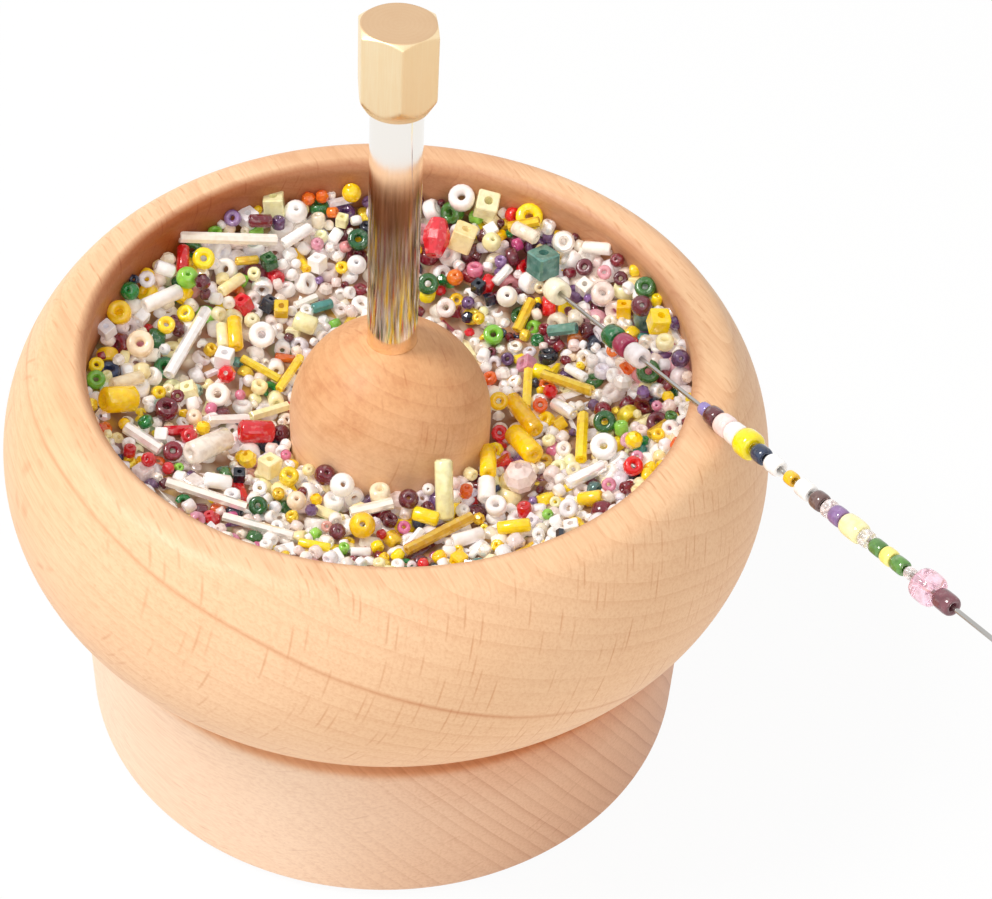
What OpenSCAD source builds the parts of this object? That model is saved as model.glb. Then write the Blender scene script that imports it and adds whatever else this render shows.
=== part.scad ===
// Bead spinner for loading beads on a needle.
// A turned beech bowl stands on a steel spindle, which turns in two ball bearings in a beech base.
// The brass knob is twisted between two fingers, and the bowl lifts off the base with its spindle.
// The bowl holds a load of glass beads, and a beading needle lies on its rim.
// The origin is on the spinning axis, at the surface that the base stands on. +Z is up.

/* [Base] */
// Diameter of the turned base
base_d = 105; // [96:1:125]
// Height of the top of the base above the table
base_h = 31.8; // [27:0.2:45]
// Radius of the rounded edge at the top of the base
base_top_round = 1.2; // [0.4:0.1:3]
// Radius of the rounded edge at the foot of the base
base_foot_round = 2; // [0.5:0.1:4]
// Diameter of the anti-slip pad under the base
pad_d = 88; // [60:1:90]
// Thickness of the anti-slip pad
pad_t = 2; // [1:0.1:3]
// Height that the pad stands proud of the base
pad_proud = 0.4; // [0.2:0.1:0.9]

/* [Bearings] */
// Diameter of the spindle, which the bearings' bore follows
spindle_d = 8; // [6:0.5:9]
// Radial clearance of the spindle in the bearings, for lifting it out
spindle_clearance = 0.03; // [0.01:0.01:0.1]
// Outside diameter of each ball bearing
bearing_od = 22; // [20:0.5:26]
// Width of each ball bearing
bearing_w = 7; // [6.5:0.1:9]
// Number of balls in each bearing
ball_count = 7; // [5:1:7]
// Diameter of each ball
ball_d = 3.97; // [3.2:0.01:4.2]
// Clearance between a ball and its grooves
ball_clearance = 0.06; // [0.02:0.01:0.1]
// Thickness of each bearing shield
shield_t = 0.4; // [0.2:0.05:0.5]
// Height of the lower bearing above the table
lower_bearing_z = 5; // [4:0.2:8]
// Diameter of the bore between the two bearings
relief_d = 16; // [14:0.5:18]
// Outside diameter of the spacer sleeve
sleeve_d = 11; // [10:0.2:12]

/* [Bowl] */
// Largest diameter of the bowl
bowl_d = 125; // [118:1:150]
// Height of the bowl from its foot to its rim
bowl_h = 42.8; // [39:0.2:55]
// Gap between the base and the bowl
bowl_gap = 1.6; // [0.8:0.1:4]
// Diameter of the foot of the bowl
bowl_foot_d = 94; // [80:1:104]
// Height of the widest point above the foot
belly_h = 22.5; // [18:0.5:28]
// Diameter at which the belly's curve would reach the height of the rim
shoulder_d = 108.4; // [104:0.2:114]
// Diameter of the mouth
mouth_d = 96; // [88:0.5:98]
// Radius of the outer rounding of the rim
rim_outer_round = 4; // [2:0.1:5]
// Radius of the inner rounding of the rim
rim_inner_round = 2; // [1:0.1:2.5]
// How much wider than the mouth the bowl is inside, on the radius
undercut = 2.6; // [0.5:0.1:4]
// Thickness of the bowl's floor
floor_t = 8; // [6:0.2:10]
// Radius of the corner between the floor and the wall
floor_round = 12; // [4:0.5:14]

/* [Boss] */
// Diameter of the domed boss in the middle of the bowl
dome_d = 33; // [30:0.5:38]
// Height of the dome's centre above the bowl's foot
dome_centre_h = 27.2; // [25:0.2:32]
// Radius of the corner between the floor and the boss
boss_fillet = 3; // [1:0.5:5]

/* [Spindle and knob] */
// Length of bare spindle between the dome and the knob
spindle_bare = 44.2; // [20:0.2:70]
// Height of the spindle's lower end above the table
spindle_foot_z = 3; // [2.6:0.1:4]
// Chamfer at the spindle's lower end
spindle_chamfer = 0.8; // [0.2:0.1:1.2]
// Diameter of the stud that the knob is screwed on
stud_d = 6; // [4:0.5:6.4]
// Length of the stud
stud_h = 9; // [5:0.5:10]
// Width of the knob across its flats
knob_af = 11; // [10.5:0.5:16]
// Height of the knob
knob_h = 13.6; // [12.5:0.1:22]
// Diameter of the round face that the top chamfer leaves
knob_top_d = 10.7; // [9:0.1:11]
// Angle of the top chamfer from level
knob_top_angle = 30; // [15:1:45]
// Diameter of the round face that the bottom chamfer leaves
knob_bottom_d = 9.7; // [9.2:0.1:10.5]
// Angle of the bottom chamfer from level
knob_bottom_angle = 60; // [30:1:65]

/* [Hub] */
// Diameter of the steel flange under the bowl
flange_d = 30; // [27:0.5:40]
// Thickness of the flange
flange_t = 3; // [2:0.1:4]
// Number of flange screws
screw_count = 3; // [2:1:6]
// Diameter of the circle of screws
screw_circle_d = 20; // [17:0.5:21]
// Diameter of each screw's shank
screw_d = 3; // [2:0.1:3.2]
// Length of each screw
screw_l = 12; // [8:0.5:16]
// Diameter of each screw's countersunk head
screw_head_d = 5.6; // [4.4:0.1:6]

/* [Beads] */
// Height of the bead load above the bowl's foot, at the boss
load_low_h = 20.8; // [17:0.2:22]
// Height of the bead load above the bowl's foot, at the wall
load_high_h = 32; // [26:0.2:33]
// Outside diameter of a seed bead
seed_d = 3.2; // [2.4:0.1:3.3]
// Length of a seed bead
seed_l = 1.9; // [1.4:0.1:2]
// Diameter of the hole through a bead
hole_d = 1; // [0.8:0.1:1.2]
// Diameter of a round bead
round_d = 3.4; // [2.6:0.1:3.5]
// Side of a cube bead
cube_side = 2.4; // [1.8:0.1:2.5]
// Width across the flats of a six-sided cut bead
cut_af = 2.5; // [1.8:0.1:2.7]
// Length of a cut bead and of a tube bead
tube_l = 2.4; // [1.6:0.1:2.6]
// Diameter of a tube bead
tube_d = 2.6; // [1.8:0.1:2.8]
// Floor area that each bead takes in the bowl
cell_area = 15.5; // [15.5:0.5:24]
// Diameter of a bugle bead
bugle_d = 2.2; // [1.6:0.1:2.4]
// Shortest bugle bead
bugle_short = 6; // [4:0.5:7]
// Longest bugle bead
bugle_long = 11; // [8:0.5:12]
// One place in so many is taken by a bugle
bugle_every = 18; // [18:1:40]

/* [Needle] */
// Length of the beading needle
needle_l = 130; // [124:1:150]
// Diameter of the needle
needle_d = 0.7; // [0.5:0.05:0.8]
// Distance of the needle's point from the spinning axis
needle_point_r = 38.3; // [37:0.1:39]
// Direction in which the needle's point lies from the axis
needle_point_angle = 46.7; // [40:0.5:52]
// Height of the needle's point above the bowl's foot
needle_point_h = 33; // [32.8:0.1:36]
// Direction in which the needle points away from its point
needle_heading = -63.4; // [-66:0.2:-60]
// Slope of the needle
needle_slope = 12.9; // [12.9:0.1:20]
// Length of the needle's taper to its point
needle_taper = 5; // [2:0.5:8]
// Length of the needle's eye
eye_l = 4; // [2:0.5:6]
// Width of the flattened stretch that holds the eye
eye_w = 1.1; // [0.9:0.1:1.6]

/* [Hidden] */

$fn = 64;
eps = 0.01;
// Bond line between pieces of one body that are pressed or glued together
bond = 0.02;

spindle_r = spindle_d / 2;
bore_r = spindle_r + spindle_clearance;
bearing_r = bearing_od / 2;
pitch_r = (spindle_r + bearing_r) / 2;
ball_r = ball_d / 2;
groove_r = ball_r + ball_clearance;
// The lands beside the grooves stand off the pitch circle by shares of the ball
inner_land_r = pitch_r - 0.76 * ball_r;
outer_land_r = pitch_r + 0.8 * ball_r;
shield_inset = 0.2;
shield_seat = 0.45;
shield_gap = 0.25;
cage_half_w = 0.48 * ball_r;
cage_half_h = 1.16 * ball_r;
pocket_clearance = 0.08;
sleeve_clearance = 0.3;
washer_inset = 0.1;
upper_bearing_z = base_h - bearing_w;

bowl_z = base_h + bowl_gap;
bowl_r = bowl_d / 2;
mouth_r = mouth_d / 2;
dome_r = dome_d / 2;
inner_r = mouth_r + undercut;
dome_top_h = dome_centre_h + sqrt(dome_r * dome_r - spindle_r * spindle_r);
dome_top_angle = acos(spindle_r / dome_r);
knob_z = bowl_z + dome_top_h + spindle_bare;

// Radius of the arc that stands upright at one end, and ends dr further in and dh away
function arc_through(dr, dh) = (dr * dr + dh * dh) / (2 * dr);
lower_arc_r = arc_through(bowl_r - bowl_foot_d / 2, belly_h);
upper_arc_r = arc_through(bowl_r - shoulder_d / 2, bowl_h - belly_h);
upper_arc_x = bowl_r - upper_arc_r;
rim_out_z = bowl_h - rim_outer_round;
rim_out_x = upper_arc_x
    + sqrt(pow(upper_arc_r - rim_outer_round, 2) - pow(rim_out_z - belly_h, 2));
rim_in_x = mouth_r + rim_inner_round;
rim_in_z = bowl_h - rim_inner_round;

// Points along an arc with its centre at (x, z), from angle a to angle b in n steps
function arc(x, z, r, a, b, n) =
    [for (i = [0:n]) let (t = a + (b - a) * i / n) [x + r * cos(t), z + r * sin(t)]];

// Radius of the bowl's inside at height z: the wall swells from the mouth to the floor's corner
wall_foot_z = floor_t + floor_round;
function wall_r(z) =
    mouth_r + undercut * sin(90 * min(1, max(0, (rim_in_z - z) / (rim_in_z - wall_foot_z))));

// Bead load: its top is a shallow dish that rises from the boss to the wall
load_gap = 0.1;
load_rise = 1.25;
// Small air gaps between the load and what lies on it
bead_gap = 0.08;
bugle_gap = 0.25;
wall_at_load = wall_r(load_high_h) - load_gap;
function load_h(r) =
    let (u = (r - dome_r) / (wall_at_load - dome_r))
    load_low_h + (load_high_h - load_low_h) * pow(min(1, max(0, u)), load_rise);

// Repeatable number from 0 to 1 for place i and purpose k
function chance(i, k) = let (s = sin(i * 127.1 + k * 311.7 + 17) * 43758.5453) s - floor(s);

// Bead places lie on a sunflower spiral, so each has the same floor area
golden_angle = 137.508;
seed_reach = 1.9;
first_r = dome_r + seed_reach + 0.15;
last_r = wall_r(load_high_h + 4) - seed_reach - 0.2;
place_count = floor(PI * (last_r * last_r - first_r * first_r) / cell_area);
function place_r(i) = sqrt(first_r * first_r + i * cell_area / PI);
function place_angle(i) = i * golden_angle;
function place_xy(i) = place_r(i) * [cos(place_angle(i)), sin(place_angle(i))];

// Bugles: one in each bugle_every places, level with the load at both ends
bugle_total = floor(place_count / bugle_every);
function bugle_place(j) = bugle_every * j + floor(bugle_every / 2);
function bugle_l(j) = bugle_short + (bugle_long - bugle_short) * floor(chance(j, 1) * 4) / 3;
function bugle_turn(j) =
    let (r = place_r(bugle_place(j)))
    (chance(j, 2) - 0.5) * ((r > dome_r + 9 && r < last_r - 7) ? 120 : 12);
function bugle_end(j, side) =
    let (i = bugle_place(j), a = place_angle(i) + 90 + bugle_turn(j),
         xy = place_xy(i) + side * bugle_l(j) / 2 * [cos(a), sin(a)])
    [xy[0], xy[1], load_h(norm(xy)) + bugle_d / 2 + bugle_gap];
function off_segment(p, a, b) =
    let (ab = b - a, t = max(0, min(1, (p - a) * ab / (ab * ab)))) norm(p - a - t * ab);
function flat(p) = [p[0], p[1]];
bugle_room = bugle_d / 2 + seed_reach;
function clear_of_bugles(xy) =
    len([for (j = [0:bugle_total - 1])
        if (off_segment(xy, flat(bugle_end(j, -1)), flat(bugle_end(j, 1))) < bugle_room) j]) == 0;

// Needle: its point lies on the load, and it passes close over the rim
needle_dir = [cos(needle_slope) * cos(needle_heading), cos(needle_slope) * sin(needle_heading),
              sin(needle_slope)];
needle_point = [needle_point_r * cos(needle_point_angle), needle_point_r * sin(needle_point_angle),
                needle_point_h];
needle_inside = 50;
needle_room = 2.6;
bead_top = 3.7;
eye_t = 0.6 * needle_d;
eye_hole_w = 0.44 * eye_w;
function along_needle(t) = needle_point + t * needle_dir;
function below_needle(xy) =
    let (a = flat(needle_point), b = flat(along_needle(needle_inside)), ab = b - a,
         t = max(0, min(1, (xy - a) * ab / (ab * ab))),
         z = along_needle(t * needle_inside)[2])
    norm(xy - a - t * ab) < needle_room + seed_reach && z - needle_room < load_h(norm(xy)) + bead_top;

places = [for (i = [0:place_count - 1])
    if (clear_of_bugles(place_xy(i)) && !below_needle(place_xy(i))) i];

// Share of the load that each colour takes, from the first colour to the last
tone_shares = [20, 14, 6, 9, 9, 6, 3, 5, 5, 4, 5, 3, 3, 5, 3];
function total(v, n) = n < 0 ? 0 : v[n] + total(v, n - 1);
tone_sum = total(tone_shares, len(tone_shares) - 1);
function tone_of(i) =
    let (s = chance(i, 3) * tone_sum)
    len([for (n = [0:len(tone_shares) - 1]) if (total(tone_shares, n) <= s) n]);
function bugle_tone(j) = floor(chance(j, 4) * 3);

// Strung beads, each as [distance from the needle's point, diameter, length]
strung_white_list = [[3.9, 4.4, 3.6], [30.4, 3.7, 3.6], [56.2, 3.6, 2.8], [59.1, 3.6, 2.8],
                     [69.4, 2.8, 3], [77.2, 2.8, 3], [88.8, 3.4, 4]];
strung_clear_list = [[83, 2.8, 1.4], [91.7, 2.6, 1.6], [101.4, 1.8, 1.2], [105.2, 4.8, 3.4]];
strung_yellow_list = [[62.4, 4.6, 3.2], [73.6, 2.2, 1.8], [96.8, 2.6, 2]];
strung_green_list = [[23, 3.9, 3], [94.4, 2.4, 2.4], [99.2, 2.4, 2.4]];
strung_purple_list = [[26.5, 3.9, 2.8], [50.6, 2.2, 1.8], [53.1, 3.2, 2.6], [85.2, 2.9, 2.4]];
strung_brown_list = [[80.6, 2.9, 2.2], [109, 3, 3.2]];
strung_blue_list = [[65.8, 2.9, 2.6]];

module base_block() {
    foot_z = pad_proud;
    r = base_d / 2;
    color("burlywood")
    difference() {
        rotate_extrude($fn = 128) polygon(concat(
            [[0, foot_z]],
            arc(r - base_foot_round, foot_z + base_foot_round, base_foot_round, -90, 0, 6),
            arc(r - base_top_round, base_h - base_top_round, base_top_round, 0, 90, 5),
            [[0, base_h]]));
        translate([0, 0, foot_z - 1]) cylinder(d = pad_d + 2 * bond, h = pad_t - pad_proud + 1);
        cylinder(r = bearing_r, h = lower_bearing_z + bearing_w);
        cylinder(d = relief_d, h = base_h);
        translate([0, 0, upper_bearing_z]) cylinder(r = bearing_r, h = bearing_w + 1);
    }
}

module foot_pad() {
    color("saddlebrown") cylinder(d = pad_d, h = pad_t);
}

// One bearing stands on z = 0
module outer_race() {
    step_r = outer_land_r + shield_seat;
    step_h = shield_inset + shield_t;
    rotate_extrude() difference() {
        translate([outer_land_r, 0]) square([bearing_r - outer_land_r, bearing_w]);
        translate([pitch_r, bearing_w / 2]) circle(r = groove_r);
        translate([outer_land_r - 1, -1]) square([step_r - outer_land_r + 1, step_h + 1]);
        translate([outer_land_r - 1, bearing_w - step_h])
            square([step_r - outer_land_r + 1, step_h + 1]);
    }
}

module inner_race() {
    rotate_extrude() difference() {
        translate([bore_r, 0]) square([inner_land_r - bore_r, bearing_w]);
        translate([pitch_r, bearing_w / 2]) circle(r = groove_r);
    }
}

module ball_ring() {
    for (i = [0:ball_count - 1])
        rotate(i * 360 / ball_count) translate([pitch_r, 0, bearing_w / 2]) sphere(r = ball_r);
}

// Machined ring with a round pocket bored through its wall for each ball
module ball_cage() {
    difference() {
        translate([0, 0, bearing_w / 2]) rotate_extrude()
            translate([pitch_r - cage_half_w, -cage_half_h])
                square([2 * cage_half_w, 2 * cage_half_h]);
        for (i = [0:ball_count - 1])
            rotate(i * 360 / ball_count) translate([pitch_r - ball_r, 0, bearing_w / 2])
                rotate([0, 90, 0]) cylinder(r = ball_r + pocket_clearance, h = ball_d);
    }
}

module shield_pair() {
    for (z = [shield_inset, bearing_w - shield_inset - shield_t])
        translate([0, 0, z]) rotate_extrude()
            translate([inner_land_r + shield_gap, 0])
                square([outer_land_r + shield_seat - inner_land_r - shield_gap, shield_t]);
}

module lower_outer_race() { color("silver") translate([0, 0, lower_bearing_z]) outer_race(); }
module lower_inner_race() { color("gainsboro") translate([0, 0, lower_bearing_z]) inner_race(); }
module lower_balls() { color("white") translate([0, 0, lower_bearing_z]) ball_ring(); }
module lower_cage() { color("peru") translate([0, 0, lower_bearing_z]) ball_cage(); }
module lower_shields() { color("dimgray") translate([0, 0, lower_bearing_z]) shield_pair(); }

module upper_outer_race() { color("silver") translate([0, 0, upper_bearing_z]) outer_race(); }
module upper_inner_race() { color("gainsboro") translate([0, 0, upper_bearing_z]) inner_race(); }
module upper_balls() { color("white") translate([0, 0, upper_bearing_z]) ball_ring(); }
module upper_cage() { color("peru") translate([0, 0, upper_bearing_z]) ball_cage(); }
module upper_shields() { color("dimgray") translate([0, 0, upper_bearing_z]) shield_pair(); }

// The sleeve keeps the two inner races apart
module spacer_sleeve() {
    z = lower_bearing_z + bearing_w;
    color("lightsteelblue") translate([0, 0, z]) difference() {
        cylinder(d = sleeve_d, h = upper_bearing_z - z);
        translate([0, 0, -1]) cylinder(r = spindle_r + sleeve_clearance, h = upper_bearing_z - z + 2);
    }
}

// The washer carries the bowl on the upper inner race, and sets the gap below the bowl
module thrust_washer() {
    color("goldenrod") translate([0, 0, base_h]) difference() {
        cylinder(r = inner_land_r - washer_inset, h = bowl_gap);
        translate([0, 0, -1]) cylinder(r = spindle_r + bond, h = bowl_gap + 2);
    }
}

module at_screws() {
    for (i = [0:screw_count - 1])
        rotate(90 + i * 360 / screw_count) translate([screw_circle_d / 2, 0, bowl_z]) children();
}

// Countersunk screw that points up, with its head's face at z = 0
module screw_form(grow) {
    head_h = (screw_head_d - screw_d) / 2;
    cylinder(d = screw_d + 2 * grow, h = screw_l + grow);
    translate([0, 0, -grow]) cylinder(d1 = screw_head_d + 4 * grow, d2 = screw_d + 2 * grow,
                                      h = head_h + grow);
}

module flange_screws() {
    slot_l = 0.7 * screw_head_d;
    slot_w = 0.8;
    slot_h = 0.9;
    color("darkgray") at_screws() difference() {
        screw_form(0);
        for (a = [0, 90]) rotate(a)
            translate([-slot_l / 2, -slot_w / 2, -1]) cube([slot_l, slot_w, slot_h + 1]);
    }
}

module hub_flange() {
    color("slategray") difference() {
        translate([0, 0, bowl_z]) cylinder(d = flange_d, h = flange_t);
        translate([0, 0, bowl_z - 1]) cylinder(r = spindle_r + bond, h = flange_t + 2);
        at_screws() screw_form(bond);
    }
}

module spindle() {
    c = spindle_chamfer;
    color("lightgray") union() {
        translate([0, 0, spindle_foot_z]) cylinder(r1 = spindle_r - c, r2 = spindle_r, h = c);
        translate([0, 0, spindle_foot_z + c]) cylinder(r = spindle_r, h = knob_z - spindle_foot_z - c);
        translate([0, 0, knob_z - eps]) cylinder(d = stud_d, h = stud_h + eps);
    }
}

// Hexagonal bar, turned down at both ends to a round face
module knob() {
    corner_r = knob_af / 2 / cos(30);
    wide_r = corner_r + 0.2;
    turn = 35;
    hole_h = stud_h + 0.5;
    low = (wide_r - knob_bottom_d / 2) * tan(knob_bottom_angle);
    high = (wide_r - knob_top_d / 2) * tan(knob_top_angle);
    color("gold") translate([0, 0, knob_z]) difference() {
        intersection() {
            rotate(turn) cylinder(r = corner_r, h = knob_h, $fn = 6);
            rotate_extrude() polygon([[0, 0], [knob_bottom_d / 2, 0], [wide_r, low],
                [wide_r, knob_h - high], [knob_top_d / 2, knob_h], [0, knob_h]]);
        }
        translate([0, 0, -1]) cylinder(d = stud_d + 2 * bond, h = hole_h + 1);
    }
}

// Outline of the bowl's hollow, from the wall's top to the foot of the dome, drawn in by g
function hollow_wall(top, g) =
    [for (i = [0:12]) let (z = top + (wall_foot_z - top) * i / 12) [wall_r(z) - g, z]];
function hollow_floor(g) = concat(
    arc(inner_r - floor_round, wall_foot_z, floor_round - g, 0, -90, 10),
    arc(dome_r + boss_fillet, floor_t + boss_fillet, boss_fillet - g, -90, -180, 5));

module bowl() {
    lip_angle = atan2(rim_out_z - belly_h, rim_out_x - upper_arc_x);
    foot_angle = -asin(belly_h / lower_arc_r);
    hole_r = spindle_r + bond;
    color("burlywood") translate([0, 0, bowl_z]) difference() {
        rotate_extrude($fn = 128) polygon(concat(
            [[0, 0]],
            arc(bowl_r - lower_arc_r, belly_h, lower_arc_r, foot_angle, 0, 14),
            arc(upper_arc_x, belly_h, upper_arc_r, lip_angle / 10, lip_angle, 9),
            arc(rim_out_x, rim_out_z, rim_outer_round, lip_angle + 8, 90, 5),
            arc(rim_in_x, rim_in_z, rim_inner_round, 90, 180, 7),
            hollow_wall(rim_in_z - 1, 0),
            hollow_floor(0),
            arc(0, dome_centre_h, dome_r, 0, dome_top_angle, 14),
            [[0, dome_top_h]]));
        translate([0, 0, -1]) cylinder(r = hole_r, h = dome_top_h + 2);
        translate([0, 0, -1]) cylinder(d = flange_d + 2 * bond, h = flange_t + 1);
        translate([0, 0, -bowl_z]) at_screws() screw_form(bond);
    }
}

// The beads that nothing shows of, as one filling under the ones that show
module buried_beads() {
    color("wheat") translate([0, 0, bowl_z]) rotate_extrude($fn = 96) polygon(concat(
        hollow_wall(load_high_h, load_gap),
        hollow_floor(load_gap),
        [for (i = [0:12]) let (r = dome_r + load_gap + (wall_at_load - dome_r - load_gap) * i / 12)
            [r, load_h(r)]]));
}

// Ring with rounded ends and its hole along Z
module seed_bead(d, l) {
    e = (d - hole_d) / 4;
    s = l / 2 - e;
    rotate_extrude() translate([hole_d / 2 + e, 0]) union() {
        translate([0, s]) circle(r = e);
        translate([0, -s]) circle(r = e);
        translate([-e, -s]) square([2 * e, 2 * s]);
    }
}

module tube_bead(d, l) {
    rotate_extrude() translate([hole_d / 2, -l / 2]) square([(d - hole_d) / 2, l]);
}

module round_bead(d) {
    difference() {
        sphere(d = d);
        cylinder(d = hole_d, h = d + 1, center = true);
    }
}

module cube_bead(side) {
    difference() {
        cube(side, center = true);
        cylinder(d = hole_d, h = side + 1, center = true);
    }
}

module cut_bead(af, l) {
    difference() {
        cylinder(d = af / cos(30), h = l, center = true, $fn = 6);
        cylinder(d = hole_d, h = l + 1, center = true);
    }
}

// Kinds: 0 seed, 1 tube, 2 round, 3 cube, 4 cut
function kind_of(i) =
    let (c = chance(i, 5)) c < 0.55 ? 0 : c < 0.74 ? 1 : c < 0.84 ? 2 : c < 0.91 ? 3 : 4;
function lean_of(i) = kind_of(i) == 3 ? 0 : floor(chance(i, 6) * 3) * 45;
// Height of a leaning bead's centre over the face that it lies on
function rest_h(i) =
    let (k = kind_of(i), a = lean_of(i),
         e = k == 0 ? (seed_d - hole_d) / 4 : 0,
         r = k == 0 ? seed_d / 2 : k == 1 ? tube_d / 2 : k == 4 ? cut_af / 2 / cos(30) : cube_side / 2,
         h = k == 0 ? seed_l / 2 : k == 3 ? cube_side / 2 : tube_l / 2)
    k == 2 ? round_d / 2 : k == 3 ? h : (r - e) * sin(a) + (h - e) * cos(a) + e;

module shaped_bead(i) {
    k = kind_of(i);
    if (k == 0) seed_bead(seed_d, seed_l);
    if (k == 1) tube_bead(tube_d, tube_l);
    if (k == 2) round_bead(round_d);
    if (k == 3) cube_bead(cube_side);
    if (k == 4) cut_bead(cut_af, tube_l);
}

module placed_bead(i) {
    r = place_r(i);
    slope = atan2(load_h(r + 1) - load_h(r - 1), 2);
    rotate(place_angle(i)) translate([r, 0, bowl_z + load_h(r)]) rotate([0, -slope, 0])
        translate([0, 0, rest_h(i) + bead_gap])
            rotate(chance(i, 7) * 360) rotate([lean_of(i), 0, 0]) shaped_bead(i);
}

module beads_of(tone) {
    for (i = places) if (tone_of(i) == tone) placed_bead(i);
}

module bugles_of(tone) {
    for (j = [0:bugle_total - 1]) if (bugle_tone(j) == tone) {
        a = bugle_end(j, -1);
        b = bugle_end(j, 1);
        v = b - a;
        translate([0, 0, bowl_z]) translate((a + b) / 2)
            rotate([0, acos(v[2] / norm(v)), atan2(v[1], v[0])]) tube_bead(bugle_d, norm(v));
    }
}

module white_beads() { color("white") beads_of(0); }
module clear_beads() { color("lightcyan") beads_of(1); }
module silver_beads() { color("silver") beads_of(2); }
module cream_beads() { color("cornsilk") beads_of(3); }
module yellow_beads() { color("gold") beads_of(4); }
module gold_beads() { color("goldenrod") beads_of(5); }
module orange_beads() { color("orange") beads_of(6); }
module red_beads() { color("red") beads_of(7); }
module burgundy_beads() { color("maroon") beads_of(8); }
module pink_beads() { color("hotpink") beads_of(9); }
module purple_beads() { color("rebeccapurple") beads_of(10); }
module navy_beads() { color("navy") beads_of(11); }
module teal_beads() { color("teal") beads_of(12); }
module green_beads() { color("green") beads_of(13); }
module lime_beads() { color("yellowgreen") beads_of(14); }
module white_bugles() { color("ivory") bugles_of(0); }
module gold_bugles() { color("khaki") bugles_of(1); }
module silver_bugles() { color("lightgray") bugles_of(2); }

// Everything on the needle is drawn with the needle's point at the origin, and its length along Z
module on_needle() {
    translate([0, 0, bowl_z]) translate(needle_point)
        rotate([0, 90 - needle_slope, needle_heading]) children();
}

// Flat slot shape with round ends, cut across the needle
module eye_shape(w, depth) {
    translate([0, 0, needle_l - eye_l - eye_w]) rotate([90, 0, 0])
        linear_extrude(depth, center = true) union() {
            translate([-w / 2, 0]) square([w, eye_l]);
            translate([0, eye_l]) circle(d = w);
            circle(d = w);
        }
}

module needle() {
    color("darkgray") on_needle() difference() {
        union() {
            cylinder(d1 = needle_d / 4, d2 = needle_d, h = needle_taper);
            translate([0, 0, needle_taper - eps]) cylinder(d = needle_d, h = needle_l - needle_taper);
            eye_shape(eye_w, eye_t);
        }
        eye_shape(eye_hole_w, 2 * eye_w);
    }
}

module strung(list) {
    for (b = list) on_needle() translate([0, 0, b[0]]) seed_bead(b[1], b[2]);
}

module strung_white() { color("white") strung(strung_white_list); }
module strung_clear() { color("lightcyan") strung(strung_clear_list); }
module strung_yellow() { color("gold") strung(strung_yellow_list); }
module strung_green() { color("green") strung(strung_green_list); }
module strung_purple() { color("mediumorchid") strung(strung_purple_list); }
module strung_brown() { color("saddlebrown") strung(strung_brown_list); }
module strung_blue() { color("midnightblue") strung(strung_blue_list); }

base_block();
foot_pad();
lower_outer_race();
lower_inner_race();
lower_balls();
lower_cage();
lower_shields();
upper_outer_race();
upper_inner_race();
upper_balls();
upper_cage();
upper_shields();
spacer_sleeve();
thrust_washer();
hub_flange();
flange_screws();
spindle();
knob();
bowl();
buried_beads();
white_beads();
clear_beads();
silver_beads();
cream_beads();
yellow_beads();
gold_beads();
orange_beads();
red_beads();
burgundy_beads();
pink_beads();
purple_beads();
navy_beads();
teal_beads();
green_beads();
lime_beads();
white_bugles();
gold_bugles();
silver_bugles();
needle();
strung_white();
strung_clear();
strung_yellow();
strung_green();
strung_purple();
strung_brown();
strung_blue();
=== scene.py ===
"""Looks of the bead spinner: turned beech, a polished spindle, a hexagonal brass knob and a load of glass beads.

Lengths inside the shape functions are in millimetres, as in the part's source, and become metres in make_piece.
"""
import math

import bpy
import numpy as np
from mathutils import Matrix


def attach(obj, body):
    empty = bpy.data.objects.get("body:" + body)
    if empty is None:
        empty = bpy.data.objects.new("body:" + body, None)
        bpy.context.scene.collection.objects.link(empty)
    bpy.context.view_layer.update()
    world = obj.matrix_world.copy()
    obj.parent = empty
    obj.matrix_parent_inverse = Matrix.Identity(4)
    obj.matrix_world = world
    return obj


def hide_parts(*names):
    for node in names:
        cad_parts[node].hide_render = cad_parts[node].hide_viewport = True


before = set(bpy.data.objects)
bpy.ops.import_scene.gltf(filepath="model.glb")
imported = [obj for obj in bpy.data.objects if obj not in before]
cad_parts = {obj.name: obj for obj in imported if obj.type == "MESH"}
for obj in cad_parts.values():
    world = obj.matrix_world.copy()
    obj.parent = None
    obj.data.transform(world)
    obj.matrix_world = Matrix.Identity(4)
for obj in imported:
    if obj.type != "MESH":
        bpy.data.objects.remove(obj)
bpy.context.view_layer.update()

MM = 0.001
TURN = 2 * math.pi

# Sizes that the shapes share with the part's source
BASE_R, BASE_H, PAD_R, PAD_T, PAD_PROUD = 52.5, 31.8, 44.0, 2.0, 0.4
BEARING_R, BEARING_W, LOWER_BEARING_Z, RELIEF_R = 11.0, 7.0, 5.0, 8.0
SPINDLE_R, SPINDLE_FOOT = 4.0, 3.0
BOWL_Z, BOWL_R, BOWL_H, FOOT_R, BELLY_H, SHOULDER_R = 33.4, 62.5, 42.8, 47.0, 22.5, 54.2
MOUTH_R, RIM_OUT, RIM_IN, UNDERCUT = 48.0, 4.0, 2.0, 2.6
FLOOR_T, FLOOR_ROUND, DOME_R, DOME_H, BOSS_FILLET = 8.0, 12.0, 16.5, 27.2, 3.0
FLANGE_R, FLANGE_T, BOND = 15.0, 3.0, 0.02
LOAD_LOW, LOAD_HIGH, LOAD_RISE = 20.8, 32.0, 1.25
ROD_SHOWN, KNOB_H, KNOB_AF, KNOB_TURN = 44.2, 13.6, 11.0, 35.0
DOME_TOP = DOME_H + math.sqrt(DOME_R**2 - SPINDLE_R**2)
KNOB_Z = BOWL_Z + DOME_TOP + ROD_SHOWN
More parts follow.
